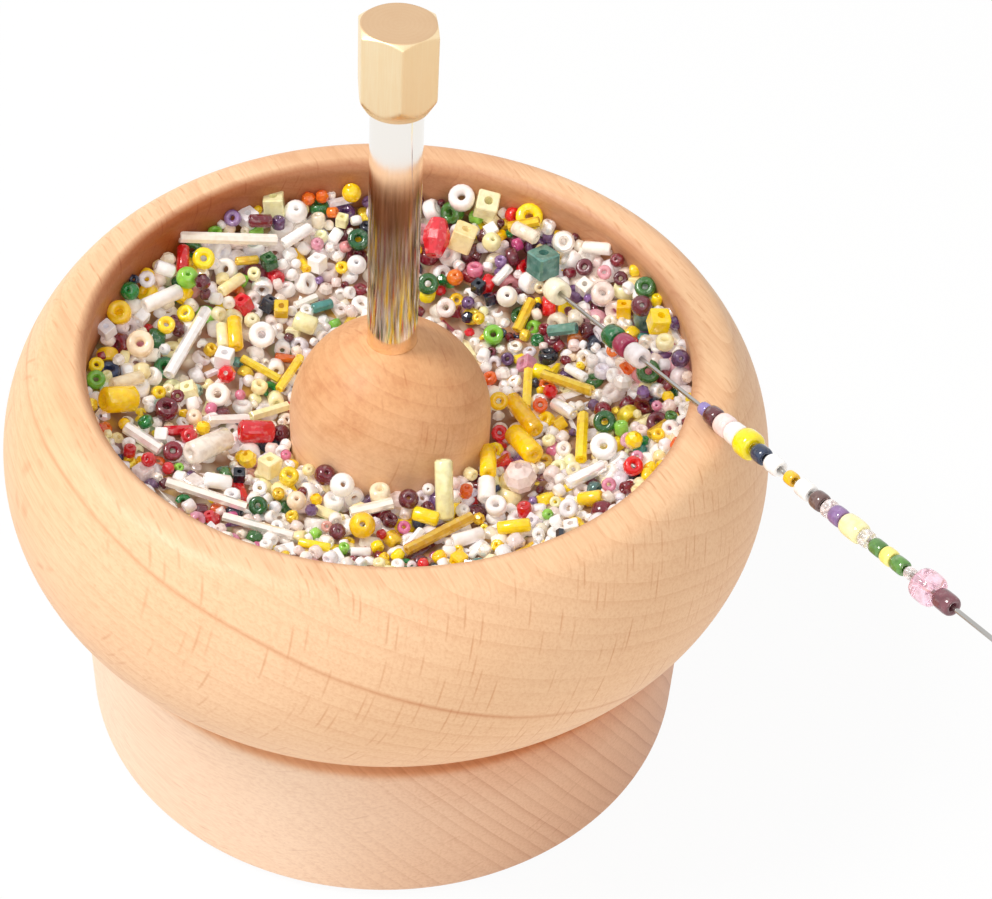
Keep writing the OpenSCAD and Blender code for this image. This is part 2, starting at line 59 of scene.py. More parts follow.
# Edge rounds and chamfers, the rod's tenon, and how far the load has risen behind, in front and at the right
BASE_ROUND, TOP_ROUND, ROD_CHAMFER, TENON_R, TENON_H, TENON_CHAMFER = 2.0, 1.2, 0.8, 3.0, 9.0, 0.4
FAR_RISE, NEAR_RISE, RIGHT_RISE = 3.6, 4.0, 3.8

# The photograph's view: its size and focal length in pixels, where it was taken from in mm, and the pitch, yaw and
# roll, in radians, all worked out from the outlines in it
PHOTO_W, PHOTO_H, FOCAL_PX = 992, 899, 2055.92385
VIEWPOINT = np.array([0, -248.417, 289.370])
PITCH, YAW, ROLL = 0.760899562, 0.0516386816, 0.0217561590
FORWARD = np.array([math.sin(YAW), math.cos(PITCH) * math.cos(YAW), -math.sin(PITCH) * math.cos(YAW)])
flat_right, flat_up = np.array([1.0, 0, 0]), np.array([0, math.sin(PITCH), math.cos(PITCH)])
right = flat_right * math.cos(YAW) - np.array([0, math.cos(PITCH), -math.sin(PITCH)]) * math.sin(YAW)
CAM_X = math.cos(ROLL) * right + math.sin(ROLL) * flat_up
CAM_Y = math.cos(ROLL) * flat_up - math.sin(ROLL) * right


def ramp(v, start, end):
    """0 up to start, 1 from end on and straight between, for numbers; the method ramp of Value is its like."""
    return np.clip((v - start) / (end - start), 0, 1)


# ---- meshes ----

def grid_faces(nu, nv, wrap_u=True, wrap_v=True):
    """Quads between neighbours on a grid of nu by nv points, closed on itself along the wrapped directions."""
    u, v = np.meshgrid(np.arange(nu if wrap_u else nu - 1), np.arange(nv if wrap_v else nv - 1), indexing="ij")
    u2, v2 = (u + 1) % nu, (v + 1) % nv
    return np.stack([u * nv + v, u2 * nv + v, u2 * nv + v2, u * nv + v2], -1).reshape(-1, 4)


def put(name, data):
    """A new object in the scene."""
    item = bpy.data.objects.new(name, data)
    bpy.context.scene.collection.objects.link(item)
    return item


def stand(item, place, x, y, z):
    """Puts an object at a place in metres, with its own axes along these."""
    item.matrix_world = Matrix.Translation(place) @ Matrix(np.stack([x, y, z], 1).tolist()).to_4x4()


def make_piece(name, points, faces, body, finish, slot=None, replaces=(), smooth=True, sharp=None, attributes=()):
    """One object from points in mm and quads, riding on a body. A quad whose last two corners agree is a triangle."""
    mesh = bpy.data.meshes.new(name)
    corners = np.where(faces[:, 2] == faces[:, 3], 3, 4)
    loops = faces[np.arange(4)[None, :] < corners[:, None]]
    mesh.vertices.add(len(points))
    mesh.vertices.foreach_set("co", (np.asarray(points, float) * MM).astype(np.float32).ravel())
    mesh.loops.add(len(loops))
    mesh.loops.foreach_set("vertex_index", loops.astype(np.int32))
    mesh.polygons.add(len(faces))
    mesh.polygons.foreach_set("loop_start", np.concatenate([[0], np.cumsum(corners)[:-1]]).astype(np.int32))
    flags = np.full(len(faces), smooth) if isinstance(smooth, bool) else smooth
    mesh.update(calc_edges=True)
    mesh.polygons.foreach_set("use_smooth", flags)
    for key, values in dict(attributes).items():
        layer = mesh.attributes.new(key, "FLOAT", "POINT")
        layer.data.foreach_set("value", np.asarray(values, np.float32))
    if sharp:
        mesh.set_sharp_from_angle(angle=math.radians(sharp))
    mesh.materials.append(finish)
    piece = put(name, mesh)
    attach(piece, body)
    if replaces:
        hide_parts(*replaces)
    return piece


def arc(x, z, r, a, b, n):
    """n + 1 points along a circle round (x, z) from angle a to angle b, in degrees."""
    t = np.radians(np.linspace(a, b, n + 1))
    return np.stack([x + r * np.cos(t), z + r * np.sin(t)], -1)


def line(a, b, n):
    """n points on the straight line from a towards b, without b itself."""
    t = np.arange(n)[:, None] / n
    return np.asarray(a, float) * (1 - t) + np.asarray(b, float) * t


def route(*stops):
    """Points from corner to corner, with the number of steps between each two; the last corner is left out."""
    return np.vstack([line(stops[k], stops[k + 2], stops[k + 1]) for k in range(0, len(stops) - 2, 2)])


def polar(r, angle, z):
    """Points at those radii, angles and heights, which are broadcast together."""
    return np.stack(np.broadcast_arrays(r * np.cos(angle), r * np.sin(angle), z), -1)


def turned(profile, n):
    """Rings (n, m, 3) from a profile of m (radius, height) points that runs anticlockwise round its section."""
    return polar(profile[:, 0], TURN * np.arange(n)[:, None] / n, profile[:, 1])


def capped(rings):
    """Rings (n, m, 3), closed round the first direction, with a fan of triangles at each end of the second."""
    n, m = rings.shape[:2]
    points = np.vstack([rings.reshape(-1, 3), rings[:, 0].mean(0), rings[:, -1].mean(0)])
    u, v = np.arange(n), (np.arange(n) + 1) % n
    low = np.stack([np.full(n, n * m), v * m, u * m, u * m], -1)
    high = np.stack([np.full(n, n * m + 1), u * m + m - 1, v * m + m - 1, v * m + m - 1], -1)
    return points, np.vstack([grid_faces(n, m, True, False), low, high])


# ---- shader maths ----

def maths(operation):
    """A method of Value that adds one Math node."""
    return lambda self, other=0.0: self.nodes.node("ShaderNodeMath", {"operation": operation}, {0: self, 1: other})


class Value:
    """One output of a node. Arithmetic on it adds Math nodes."""

    def __init__(self, nodes, socket):
        self.nodes, self.socket = nodes, socket

    def __rsub__(self, other):
        return self.nodes.node("ShaderNodeMath", {"operation": "SUBTRACT"}, {0: other, 1: self})

    def clip(self):
        return self.most(0.0).least(1.0)

    def ramp(self, start, end):
        return ((self - start) / (end - start)).clip()

    __add__ = __radd__ = maths("ADD")
    __mul__ = __rmul__ = maths("MULTIPLY")
    __sub__, __truediv__, __pow__, __abs__ = (maths(name) for name in ("SUBTRACT", "DIVIDE", "POWER", "ABSOLUTE"))
    floor, fract, sine, least, most = (maths(name) for name in ("FLOOR", "FRACT", "SINE", "MINIMUM", "MAXIMUM"))


class Nodes:
    """The node tree of a material or of the world, to which nodes are added one by one."""

    def __init__(self, owner):
        self.owner = owner
        owner.use_nodes = True
        self.tree = owner.node_tree
        self.tree.nodes.clear()

    def node(self, kind, settings=(), values=(), out=0):
        """A node of that kind, its settings, then the values or links of its sockets; gives one output."""
        made = self.tree.nodes.new(kind)
        for key, setting in dict(settings).items():
            if key == "stops":
                ramp = made.color_ramp.elements
                while len(ramp) < len(setting):
                    ramp.new(0.5)
                for element, (place, colour) in zip(ramp, setting):
                    element.position, element.color = place, (*colour, 1)
            else:
                setattr(made, key, setting)
        for key, value in dict(values).items():
            if isinstance(value, Value):
                self.tree.links.new(value.socket, made.inputs[key])
            else:
                made.inputs[key].default_value = value
        return Value(self, made.outputs[out])

    def place(self):
        return self.node("ShaderNodeTexCoord", out="Object")

    def along(self, vector, direction):
        """Distance along a direction, in millimetres."""
        scaled = tuple(float(c) / MM for c in direction)
        return self.node("ShaderNodeVectorMath", {"operation": "DOT_PRODUCT"}, {0: vector, 1: scaled}, out=1)

    def axes(self, vector):
        return [self.along(vector, axis) for axis in np.eye(3)]

    def vector(self, x, y, z):
        return self.node("ShaderNodeCombineXYZ", (), {0: x, 1: y, 2: z})

    def noise(self, vector, scale, detail=2.0, roughness=0.5):
        """Smooth noise from 0 to 1."""
        return self.node("ShaderNodeTexNoise", (),
                         {"Vector": vector, "Scale": scale, "Detail": detail, "Roughness": roughness})

    def chance(self, vector, out="Value"):
        return self.node("ShaderNodeTexWhiteNoise", {"noise_dimensions": "3D"}, {"Vector": vector}, out=out)

    def mix(self, factor, a, b, blend="MIX"):
        paint = {0: factor, 6: a if isinstance(a, Value) else (*a, 1), 7: b if isinstance(b, Value) else (*b, 1)}
        return self.node("ShaderNodeMix", {"data_type": "RGBA", "blend_type": blend}, paint, out=2)

    def bump(self, height, strength, distance):
        return self.node("ShaderNodeBump", (), {"Height": height, "Strength": strength, "Distance": distance})

    def seen(self):
        """1 where a ray comes straight from the camera, off something glossy or through something clear."""
        camera, glossy, clear = (self.node("ShaderNodeLightPath", out=f"Is {kind} Ray")
                                 for kind in ("Camera", "Glossy", "Transmission"))
        return camera.most(glossy).most(clear)

    def end(self, shader, kind="ShaderNodeOutputMaterial"):
        """Closes the tree with this shader and gives the tree's owner."""
        self.tree.links.new(shader.socket, self.tree.nodes.new(kind).inputs["Surface"])
        return self.owner

    def skin(self, **sockets):
        """The finished surface: a Principled shader with these sockets."""
        values = {key.replace("_", " "): value for key, value in sockets.items()}
        return self.end(self.node("ShaderNodeBsdfPrincipled", (), values))


def finish_of(name):
    """A new material, still without nodes."""
    return Nodes(bpy.data.materials.new(name))


def rgb(r, g, b):
    """A colour as it shows on screen, from 0 to 255, turned into the shader's linear numbers."""
    return tuple(c / 12.92 if c <= 0.04045 else ((c + 0.055) / 1.055) ** 2.4 for c in (r / 255, g / 255, b / 255))


def beech(name, fibre, radial, dark_ring, pale, warm, fleck, ring_pitch=2.3, ray_share=0.4, ring_depth=0.5,
          ray_h=7.0, painted_hollow_shade=None, dark_side_and_painted_shade=None):
    """Beech: annual rings are flat layers across the radial direction, and the rays are thin sheets that
    stand along it, so they show as upright lines on end grain and as short dashes on the long grain."""
    f = finish_of(name)
    p = f.place()
    tangent = np.cross(fibre, radial)
    a, r, t = f.along(p, fibre), f.along(p, radial), f.along(p, tangent)
    # Annual rings that drift and sway by a few mm, darkest at the late wood that ends each one
    drift, sway, mark_w = 2.2, 0.5, 0.5
    layer = r + (f.noise(p, 22.0, 2.0) - 0.5) * drift + (f.noise(p, 60.0, 1.0) - 0.5) * sway
    ring = (layer - dark_ring) / ring_pitch + 1.0
    strength = f.chance(f.vector(ring.floor(), 3.0, 1.0))
    rings = ring.fract() ** 3.0 * (0.25 + 0.75 * strength) * (0.3 + 0.9 * f.noise(p, 30.0, 1.0))
    x, y, z = f.axes(p)
    if dark_side_and_painted_shade:
        rings = rings * x.ramp(-28.0, 28.0)
    marked = abs(layer - dark_ring).ramp(mark_w, 0.0) * (f.noise(p, 26.0, 1.0) * 2.2 - 0.5).clip()
    # Rays, one to a cell of column_w by ray_h by ray_l, in columns that sway
    column_w, ray_l, sway = 1.15, 3.2, 0.7
    place = (t + (f.noise(p, 30.0, 1.0) - 0.5) * sway) / column_w
    column, across = place.floor(), place.fract()
    up = r / ray_h + f.chance(f.vector(column, 7.0, 2.0)) * 9.0
    back = a / ray_l + f.chance(f.vector(column, up.floor(), 5.0)) * 7.0
    pick = f.chance(f.vector(column, up.floor(), back.floor()))
    middle = 0.25 + 0.5 * f.chance(f.vector(column, back.floor(), up.floor()))
    body = (1.0 - abs(across - middle) / 0.17).clip()
    taper = ((up.fract() * math.pi).sine() * (back.fract() * math.pi).sine() - 0.15).clip()
    broad = abs(f.along(f.node("ShaderNodeTexCoord", out="Normal"), tangent * MM))
    rays = body * taper ** 0.5 * ((pick - 1.0 + ray_share) * 2.6).clip() * (1.0 - 0.35 * broad)
    # Fine grain, drawn out along the fibre, and short pores
    thread = f.noise(f.vector(a * 0.12, r * 2.2, t * 2.2), 1.0, 3.0, 0.6)
    pores = (f.noise(f.vector(a * 0.5, r * 5.0, t * 5.0), 1.0, 1.0) * 4.0 - 2.55).clip()
    cloud = f.noise(p, 16.0, 3.0)
    colour = f.mix((cloud * 1.6 - 0.3).clip(), pale, warm)
    colour = f.mix(((thread - 0.42) * 0.75).clip(), colour, fleck)
    colour = f.mix(pores * 0.3, colour, fleck)
    colour = f.mix(rings.clip() * ring_depth, colour, fleck)
    colour = f.mix(marked * 0.55, colour, fleck)
    colour = f.mix(rays.clip() * 0.64, colour, fleck)
    out = (x * x + y * y) ** 0.5
    if painted_hollow_shade:
        # Painted shade and light inside the bowl: the wall under the lip, most towards the back left, and the dome's
        # top are darkened, the dome's lower part by the beads is lightened, and the rim and wall at the back are
        # darkened
        lip_z = BOWL_Z + BOWL_H - 1.9
        # Painted shade on the wall under the lip, most towards the back left
        wall = out.ramp(49.9, 48.5).most(z.ramp(lip_z, lip_z - 0.5))
        wall = wall * out.ramp(52.5, 51.5) * out.ramp(30.0, 34.0) * z.ramp(BOWL_Z + 14.0, BOWL_Z + 16.0)
        lean = ((y * 0.64 - x * 0.77) / out).clip()
        wall = wall * (0.4 + 0.6 * lean ** 4.0 + 0.2 * x.ramp(0.0, 40.0) * y.ramp(0.0, 30.0)).clip()
        dome = out.ramp(DOME_R + 1.5, DOME_R - 0.5)
        stain = (f.noise(p, 190.0, 4.0, 0.7) * 3.6 - 1.7).clip()
        colour = f.mix(stain * (0.06 + 0.36 * dome), colour, fleck)
        high = z.ramp(BOWL_Z + 27.0, BOWL_Z + 39.0)
        # Painted shade: the dome's top is darkened
        colour = f.mix(dome * high, colour, painted_hollow_shade[0], "MULTIPLY")
        # Painted light: the dome's lower part, next to the beads, is lightened
        colour = f.mix(dome * (0.6 - high).clip() * 0.6, colour, rgb(252, 222, 188))
        # Painted shade: the wall under the lip is darkened
        colour = f.mix(wall, colour, painted_hollow_shade[1], "MULTIPLY")
        # Painted shade: the rim and wall at the back are darkened
        colour = f.mix(y.ramp(44.0, 49.0), colour, rgb(244, 234, 228), "MULTIPLY")
    if dark_side_and_painted_shade:
        # Darker wood towards the right, deepened there by painted shade too; painted shadow of the bowl on the base's
        # upper side towards the right, and painted shade on the base's top face in the slit under the bowl
        # Darker wood and painted shade towards the right
        side = (x - y * 0.2).ramp(-6.0, 54.0)
        painted_slit_shade = z.ramp(BASE_H - 0.5, BASE_H - 0.1)
        # Painted shadow of the bowl on the base's upper side, towards the right
        painted_bowl_shadow = z.ramp(BASE_H - 10.0, BASE_H + 2.0) * x.ramp(-4.0, 36.0)
        colour = f.mix(side, colour, dark_side_and_painted_shade[0], "MULTIPLY")
        colour = f.mix(painted_bowl_shadow, colour, dark_side_and_painted_shade[1], "MULTIPLY")
        # Painted shade on the base's top face, in the slit under the bowl
        colour = f.mix(painted_slit_shade, colour, dark_side_and_painted_shade[2], "MULTIPLY")
    dips = rays * -1.0 + thread * 0.3 - rings * 0.3 - pores * 0.4
    return f.skin(Base_Color=colour, Roughness=0.46 + 0.12 * thread, Normal=f.bump(dips, 0.12, 0.0001),
                  Specular_IOR_Level=0.35, Coat_Weight=0.1, Coat_Roughness=0.4)


BEECH_BOWL = beech("bowl_beech", (0.44, -0.898, 0.0), (0.315, 0.168, 0.934), 48.7,
                   rgb(244, 205, 166), rgb(238, 189, 142), rgb(196, 118, 66),
                   ray_share=0.5, ring_depth=0.34, ray_h=6.4, painted_hollow_shade=(rgb(242, 224, 204), rgb(178, 118, 72)))
BEECH_BASE = beech("base_beech", (0.67, -0.742, 0.0), (0.62, 0.56, 0.55), 90.0,
                   rgb(249, 218, 190), rgb(240, 203, 170), rgb(188, 122, 84), 2.1, 0.26, 0.6,
                   dark_side_and_painted_shade=(rgb(234, 208, 190), rgb(234, 200, 174), rgb(250, 238, 226)))


def metal(name, colour, dull, direction=(0, 0, 1), streak=0.25, fine=1.0, roughness=0.2):
    """Drawn or turned metal: fine lines run across a direction, with broad patches of a duller tone."""
    f = finish_of(name)
    p = f.place()
    lines = f.noise(f.vector(f.along(p, direction) * 3.0 * fine, 0.0, 0.0), 1.0, 3.0, 0.7)
    patch = f.noise(p, 160.0, 3.0)
    tone = f.mix(patch * 0.6, colour, dull)
    rough = roughness + (lines - 0.5) * streak + (patch - 0.5) * 0.12
    return f.skin(Base_Color=tone, Metallic=1.0, Roughness=rough.clip(), Normal=f.bump(lines, 0.12, 0.00005))


# ---- turned wood ----

def bowl_profile():
    """Section of the bowl: hub recess, foot, two arcs that meet upright at the belly, rounded rim, undercut wall,
    floor corner, boss and dome, and the hole down the middle."""
    lower_r = ((BOWL_R - FOOT_R) ** 2 + BELLY_H**2) / (2 * (BOWL_R - FOOT_R))
    upper_r = ((BOWL_R - SHOULDER_R) ** 2 + (BOWL_H - BELLY_H) ** 2) / (2 * (BOWL_R - SHOULDER_R))
    upper_x, rim_z = BOWL_R - upper_r, BOWL_H - RIM_OUT
    rim_x = upper_x + math.sqrt((upper_r - RIM_OUT) ** 2 - (rim_z - BELLY_H) ** 2)
    lip = math.degrees(math.atan2(rim_z - BELLY_H, rim_x - upper_x))
    foot = -math.degrees(math.asin(BELLY_H / lower_r))
    hole, recess = SPINDLE_R + BOND, FLANGE_R + BOND
    foot_ease, arc_ease = 0.6, 0.8  # how far the foot's edge is eased, in mm and in degrees of the lower arc
    wall_z = np.linspace(BOWL_H - RIM_IN - 0.5, FLOOR_T + FLOOR_ROUND, 24)
    wall = np.stack([wall_r(wall_z), wall_z], -1)
    dome_end = math.degrees(math.acos(hole / DOME_R))
    return np.vstack([
        route((hole, FLANGE_T), 6, (recess, FLANGE_T), 3, (recess, 0), 16, (FOOT_R - foot_ease, 0)),
        arc(BOWL_R - lower_r, BELLY_H, lower_r, foot + arc_ease, 0, 30)[:-1],
        arc(upper_x, BELLY_H, upper_r, 0, lip, 26)[:-1],
        arc(rim_x, rim_z, RIM_OUT, lip, 90, 14),
        arc(MOUTH_R + RIM_IN, BOWL_H - RIM_IN, RIM_IN, 90, 180, 10),
        wall[:-1],
        arc(MOUTH_R + UNDERCUT - FLOOR_ROUND, FLOOR_T + FLOOR_ROUND, FLOOR_ROUND, 0, -90, 14),
        arc(DOME_R + BOSS_FILLET, FLOOR_T + BOSS_FILLET, BOSS_FILLET, -90, -180, 8),
        arc(0, DOME_H, DOME_R, 0, dome_end, 40),
        line((hole, DOME_TOP - 0.1), (hole, FLANGE_T), 10)])


def wall_r(z):
    """Inner radius at height z over the bowl's foot: the wall swells by a quarter sine from the mouth down."""
    top, low = BOWL_H - RIM_IN, FLOOR_T + FLOOR_ROUND
    return MOUTH_R + UNDERCUT * np.sin(math.pi / 2 * ramp(z, top, low))


def load_h(r):
    """Height of the load over the bowl's foot: a shallow dish that rises from the boss to the wall."""
    wall = float(wall_r(np.array(LOAD_HIGH))) - 0.1
    return LOAD_LOW + (LOAD_HIGH - LOAD_LOW) * ramp(r, DOME_R, wall) ** LOAD_RISE


def load_level(x, y, right_rise=RIGHT_RISE):
    """The load's own level: it has piled up against the far wall, on the right and in front of the dome."""
    r = np.hypot(x, y)
    far = ramp(r, 34, 47) * ramp(y, -2, 22)
    near = ramp(r, 27, 18) * ramp(y, 0, -12)
    right = ramp(r, 36, 47) * ramp(x, 14, 34) * ramp(abs(y), 40.8, 6.8)
    return load_h(r) + FAR_RISE * far + NEAR_RISE * near + right_rise * right


profile = bowl_profile() + [0, BOWL_Z]
make_piece("turned_bowl", turned(profile, 240).reshape(-1, 3), grid_faces(240, len(profile)), "bowl_unit", BEECH_BOWL,
           "beech", ["bowl"], sharp=40)

lower_z, upper_z, pad_x = LOWER_BEARING_Z + BEARING_W, BASE_H - BEARING_W, PAD_R + BOND
profile = np.vstack([
    route((RELIEF_R, lower_z), 3, (BEARING_R, lower_z), 3, (BEARING_R, PAD_T), 12, (pad_x, PAD_T), 3,
          (pad_x, PAD_PROUD), 5, (BASE_R - BASE_ROUND, PAD_PROUD)),
    arc(BASE_R - BASE_ROUND, PAD_PROUD + BASE_ROUND, BASE_ROUND, -90, 0, 9),
    line((BASE_R, PAD_PROUD + BASE_ROUND + 1), (BASE_R, BASE_H - TOP_ROUND), 16),
    arc(BASE_R - TOP_ROUND, BASE_H - TOP_ROUND, TOP_ROUND, 0, 90, 8),
    route((BASE_R - 2, BASE_H), 16, (BEARING_R, BASE_H), 3, (BEARING_R, upper_z), 3, (RELIEF_R, upper_z), 6,
          (RELIEF_R, lower_z))])
make_piece("turned_base", turned(profile, 240).reshape(-1, 3), grid_faces(240, len(profile)), "base", BEECH_BASE,
           "beech", ["base_block"], sharp=40)


# ---- spindle and knob ----

def rod_steel():
    """Polished rod with painted reflections: a duller, brown-grey band up its middle, with darker streaks down it,
    stands for the beads and the bowl's shaded front wall seen in it, and yellow streaks and a paler tone near its foot
    are painted reflections of the beads and the wood. The band is rougher as well.
    """
    f = finish_of("polished_spindle")
    p = f.place()
    x, y, z = f.axes(p)
    streaks = f.noise(f.vector(x * 1.3, y * 1.3, z * 0.05), 1.0, 3.0, 0.6)
    painted_dark_streaks = (f.noise(f.vector(x * 0.9 + 3.0, y * 0.9, z * 0.06), 1.0, 2.0, 0.6) * 5.0 - 2.5).clip()
    tint = (f.noise(f.vector(x * 1.5 + 9.0, y * 1.5, z * 0.09), 1.0, 2.0, 0.6) * 6.0 - 2.8).clip()
    bare = z.ramp(75.5, 76.5)
    # Painted reflection: the band up the rod's middle, in streaks, where the beads and the shaded wall are painted
    painted_reflection_band = z.ramp(111.0, 106.0) * (0.4 + 0.6 * z.ramp(80.0, 92.0)) * bare
    foot = z.ramp(95.0, 87.0) * bare
    dull_and_painted_reflection = (painted_reflection_band * (0.35 + 1.1 * streaks)).clip()
    tone = f.mix(dull_and_painted_reflection * 0.85, rgb(243, 239, 233), rgb(148, 120, 100))
    # Painted reflection: darker streaks in the band
    tone = f.mix(painted_dark_streaks * painted_reflection_band * 0.6, tone, rgb(96, 70, 54))
    # Painted reflection of yellow beads near the rod's foot
    tone = f.mix(tint * foot * 0.95, tone, rgb(238, 208, 64))
    # Painted reflection: a paler tone low on the rod, just over the dome
    tone = f.mix(z.ramp(82.0, 78.0) * bare * 0.9, tone, rgb(254, 238, 214))
    return f.skin(Base_Color=tone, Metallic=1.0, Roughness=0.07 + 0.05 * dull_and_painted_reflection + 0.03 * streaks,
                  Normal=f.bump(streaks, 0.25, 0.0001))


def knob_brass():
    """Satin brass bar whose end, turned flat on the lathe with fine rings, is a deeper tone than its drawn flats;
    the flats that look to the right and to the front are deepened as painted shade.
    """
    f = finish_of("satin_brass")
    p = f.place()
    x, y, z = f.axes(p)
    out = (x * x + y * y) ** 0.5
    rings = (out * 9.0).sine() * 0.5 + 0.5
    drawn = f.noise(f.vector(x * 2.5, y * 2.5, z * 0.12), 1.0, 3.0, 0.6)
    end = ((z - (KNOB_Z + KNOB_H - 0.12)) * 12.0).clip()
    foot = z.ramp(KNOB_Z + 1.8, KNOB_Z + 0.6)
    patch = f.noise(p, 260.0, 2.0)
    # Painted shade on the flats that look to the right and to the front
    painted_side_shade = f.along(f.node("ShaderNodeTexCoord", out="Normal"), np.array([0.82, -0.57, 0]) * MM).clip()
    tone = f.mix((drawn * 0.9 + patch * 0.3 - 0.2).clip(), rgb(255, 238, 202), rgb(246, 216, 166))
    tone = f.mix(painted_side_shade ** 2.0 * 0.55, tone, rgb(238, 196, 142))
    tone = f.mix(end * (0.8 + 0.15 * patch + 0.04 * rings), tone, rgb(216, 181, 144))
    return f.skin(Base_Color=tone, Metallic=1.0 - 0.5 * foot, Roughness=0.34 + 0.1 * drawn + 0.2 * foot + 0.1 * end,
                  Normal=f.bump(rings * end * 0.12 + drawn * 0.4, 0.08, 0.00004))


tenon_top = KNOB_Z + TENON_H
rod = np.vstack([
    route((0.4, SPINDLE_FOOT), 3, (SPINDLE_R - ROD_CHAMFER, SPINDLE_FOOT), 2, (SPINDLE_R, SPINDLE_FOOT + ROD_CHAMFER),
          60, (SPINDLE_R, KNOB_Z), 3, (TENON_R, KNOB_Z), 6, (TENON_R, tenon_top - TENON_CHAMFER)),
    [[TENON_R, tenon_top - TENON_CHAMFER], [TENON_R - TENON_CHAMFER, tenon_top], [1, tenon_top]]])
make_piece("polished_rod", *capped(turned(rod, 96)), "bowl_unit", rod_steel(), "polished_steel", ["spindle"], sharp=30)


def knob_points(nu=180, nz=90):
    """Hexagonal bar under two cones: at each angle and height the radius is a soft minimum of the flat's
    distance over the cosine to it, and of the cone of each chamfer, which rounds every edge a little."""
    half = KNOB_AF / 2
    wide = half / math.cos(math.pi / 6) + 0.2
    angle = TURN * np.arange(nu) / nu
    z = KNOB_H * (0.5 - 0.5 * np.cos(np.linspace(0, math.pi, nz)))
    local = (angle - math.radians(KNOB_TURN)) % (TURN / 6) - TURN / 12
    flats = half / np.cos(local)
    low_r, low_slope, high_r, high_slope, power = 4.85, 60, 5.35, 30, 60.0
    low = low_r + z / math.tan(math.radians(low_slope))
    high = high_r + (KNOB_H - z) / math.tan(math.radians(high_slope))
    r = (flats[:, None] ** -power + np.minimum(low, wide + 1)[None, :] ** -power
         + np.minimum(high, wide + 1)[None, :] ** -power) ** (-1 / power)
    return angle, z + KNOB_Z, r


angle, knob_z, r = knob_points()
side, bore = polar(r, angle[:, None], knob_z), polar(TENON_R + BOND, angle, KNOB_Z)[:, None]
bore_top, crown = bore + [0, 0, TENON_H + 0.5], side[:, -1:]
points, faces = capped(np.concatenate([
    bore_top * [0.5, 0.5, 1], bore_top, bore, side[:, :1] * [0.85, 0.85, 1], side,
    crown * [0.97, 0.97, 1], crown * [0.75, 0.75, 1], crown * [0.4, 0.4, 1]], 1))
make_piece("hex_knob", points, faces, "bowl_unit", knob_brass(), "hex_brass", ["knob"], sharp=35)


# ---- CAD nodes that keep their own shape ----

def dress(finish, *nodes):
    """Gives CAD nodes a finish."""
    for node in nodes:
        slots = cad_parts[node].data.materials
        slots.clear()
        slots.append(finish)


f = finish_of("pad_rubber")
grit = f.noise(f.place(), 2600.0, 2.0)
RUBBER = f.skin(Base_Color=f.mix(grit, rgb(52, 48, 44), rgb(72, 67, 62)), Roughness=0.75 + 0.15 * grit,
                Normal=f.bump(grit, 0.4, 0.0001))
RACE = metal("ground_steel", rgb(200, 200, 202), rgb(176, 176, 180), streak=0.08, roughness=0.12)
SHEET = metal("pressed_sheet", rgb(170, 171, 174), rgb(140, 141, 146), streak=0.2, roughness=0.35)
CAGE = metal("machined_bronze", rgb(190, 150, 92), rgb(160, 122, 70), streak=0.2, roughness=0.3)
TURNED = metal("turned_steel", rgb(182, 183, 186), rgb(150, 151, 156), streak=0.25, roughness=0.3)
dress(RUBBER, "foot_pad")
dress(TURNED, "spacer_sleeve", "hub_flange")
dress(CAGE, "thrust_washer", "lower_cage", "upper_cage")
dress(RACE, "flange_screws", *(f"{level}_{part}" for level in ("lower", "upper")
                               for part in ("outer_race", "inner_race", "balls")))
dress(SHEET, "lower_shields", "upper_shields")

# Under the beads that show, the filling is painted as more of them
f = finish_of("deep_beads")
p = f.place()
cells = f.node("ShaderNodeTexVoronoi", {"feature": "F1"}, {"Vector": p, "Scale": 330.0}, out="Distance")
tones = f.node("ShaderNodeTexVoronoi", {"feature": "F1"}, {"Vector": p, "Scale": 330.0}, out="Color")
pick = f.chance(tones)
shade = f.node("ShaderNodeValToRGB", {"stops": [
    (0.0, rgb(240, 232, 224)), (0.35, rgb(224, 208, 186)), (0.5, rgb(228, 184, 50)), (0.62, rgb(176, 80, 80)),
    (0.75, rgb(140, 110, 120)), (0.88, rgb(120, 160, 100)), (1.0, rgb(240, 236, 230))]}, {"Fac": pick})
# The edges of the cells are painted shade between the painted beads
DEEP = f.skin(Base_Color=f.mix((cells * 1.5).clip(), shade, rgb(150, 112, 84)), Roughness=0.25 + 0.3 * cells,
              Normal=f.bump(1.0 - cells, 0.8, 0.001))
dress(DEEP, "buried_beads")


# ---- beads ----

def ring_bead(section, corners=0, nu=14, smooth=True):
    """A closed section of (radius, height) carried round Z. With corners, the outline is a rounded polygon: points
    beyond the hole are pushed out by one over the cosine to the nearest flat."""
    if corners:
        step = TURN / corners
        t = (np.arange(corners)[:, None] * step + np.array([-0.08, 0.08, 0.34 * step, 0.66 * step])[None, :]).ravel()
        local = t % step - step / 2
        out = 1 / np.cos(local) * math.cos(step / 2) ** 0.06
    else:
        t = TURN * np.arange(nu) / nu
        out = np.ones(nu)
    r, z = section[:, 0], section[:, 1]
    hole = r.min() * 1.05
    rr = np.where(r[None, :] > hole, r[None, :] * out[:, None], r[None, :])
    faces = grid_faces(len(t), len(r))
    return polar(rr, t[:, None], z).reshape(-1, 3), faces, np.full(len(faces), smooth)


def donut_section(d, l, hole, n=8, square=0.75):
    """A superellipse between the hole and the outside: square 1 is an ellipse and smaller is boxier."""
    t = TURN * (np.arange(n) + 0.5) / n
    c, s = np.cos(t), np.sin(t)
    return np.stack([(d + hole) / 4 + (d - hole) / 4 * np.sign(c) * abs(c) ** square,
                     l / 2 * np.sign(s) * abs(s) ** square], -1)


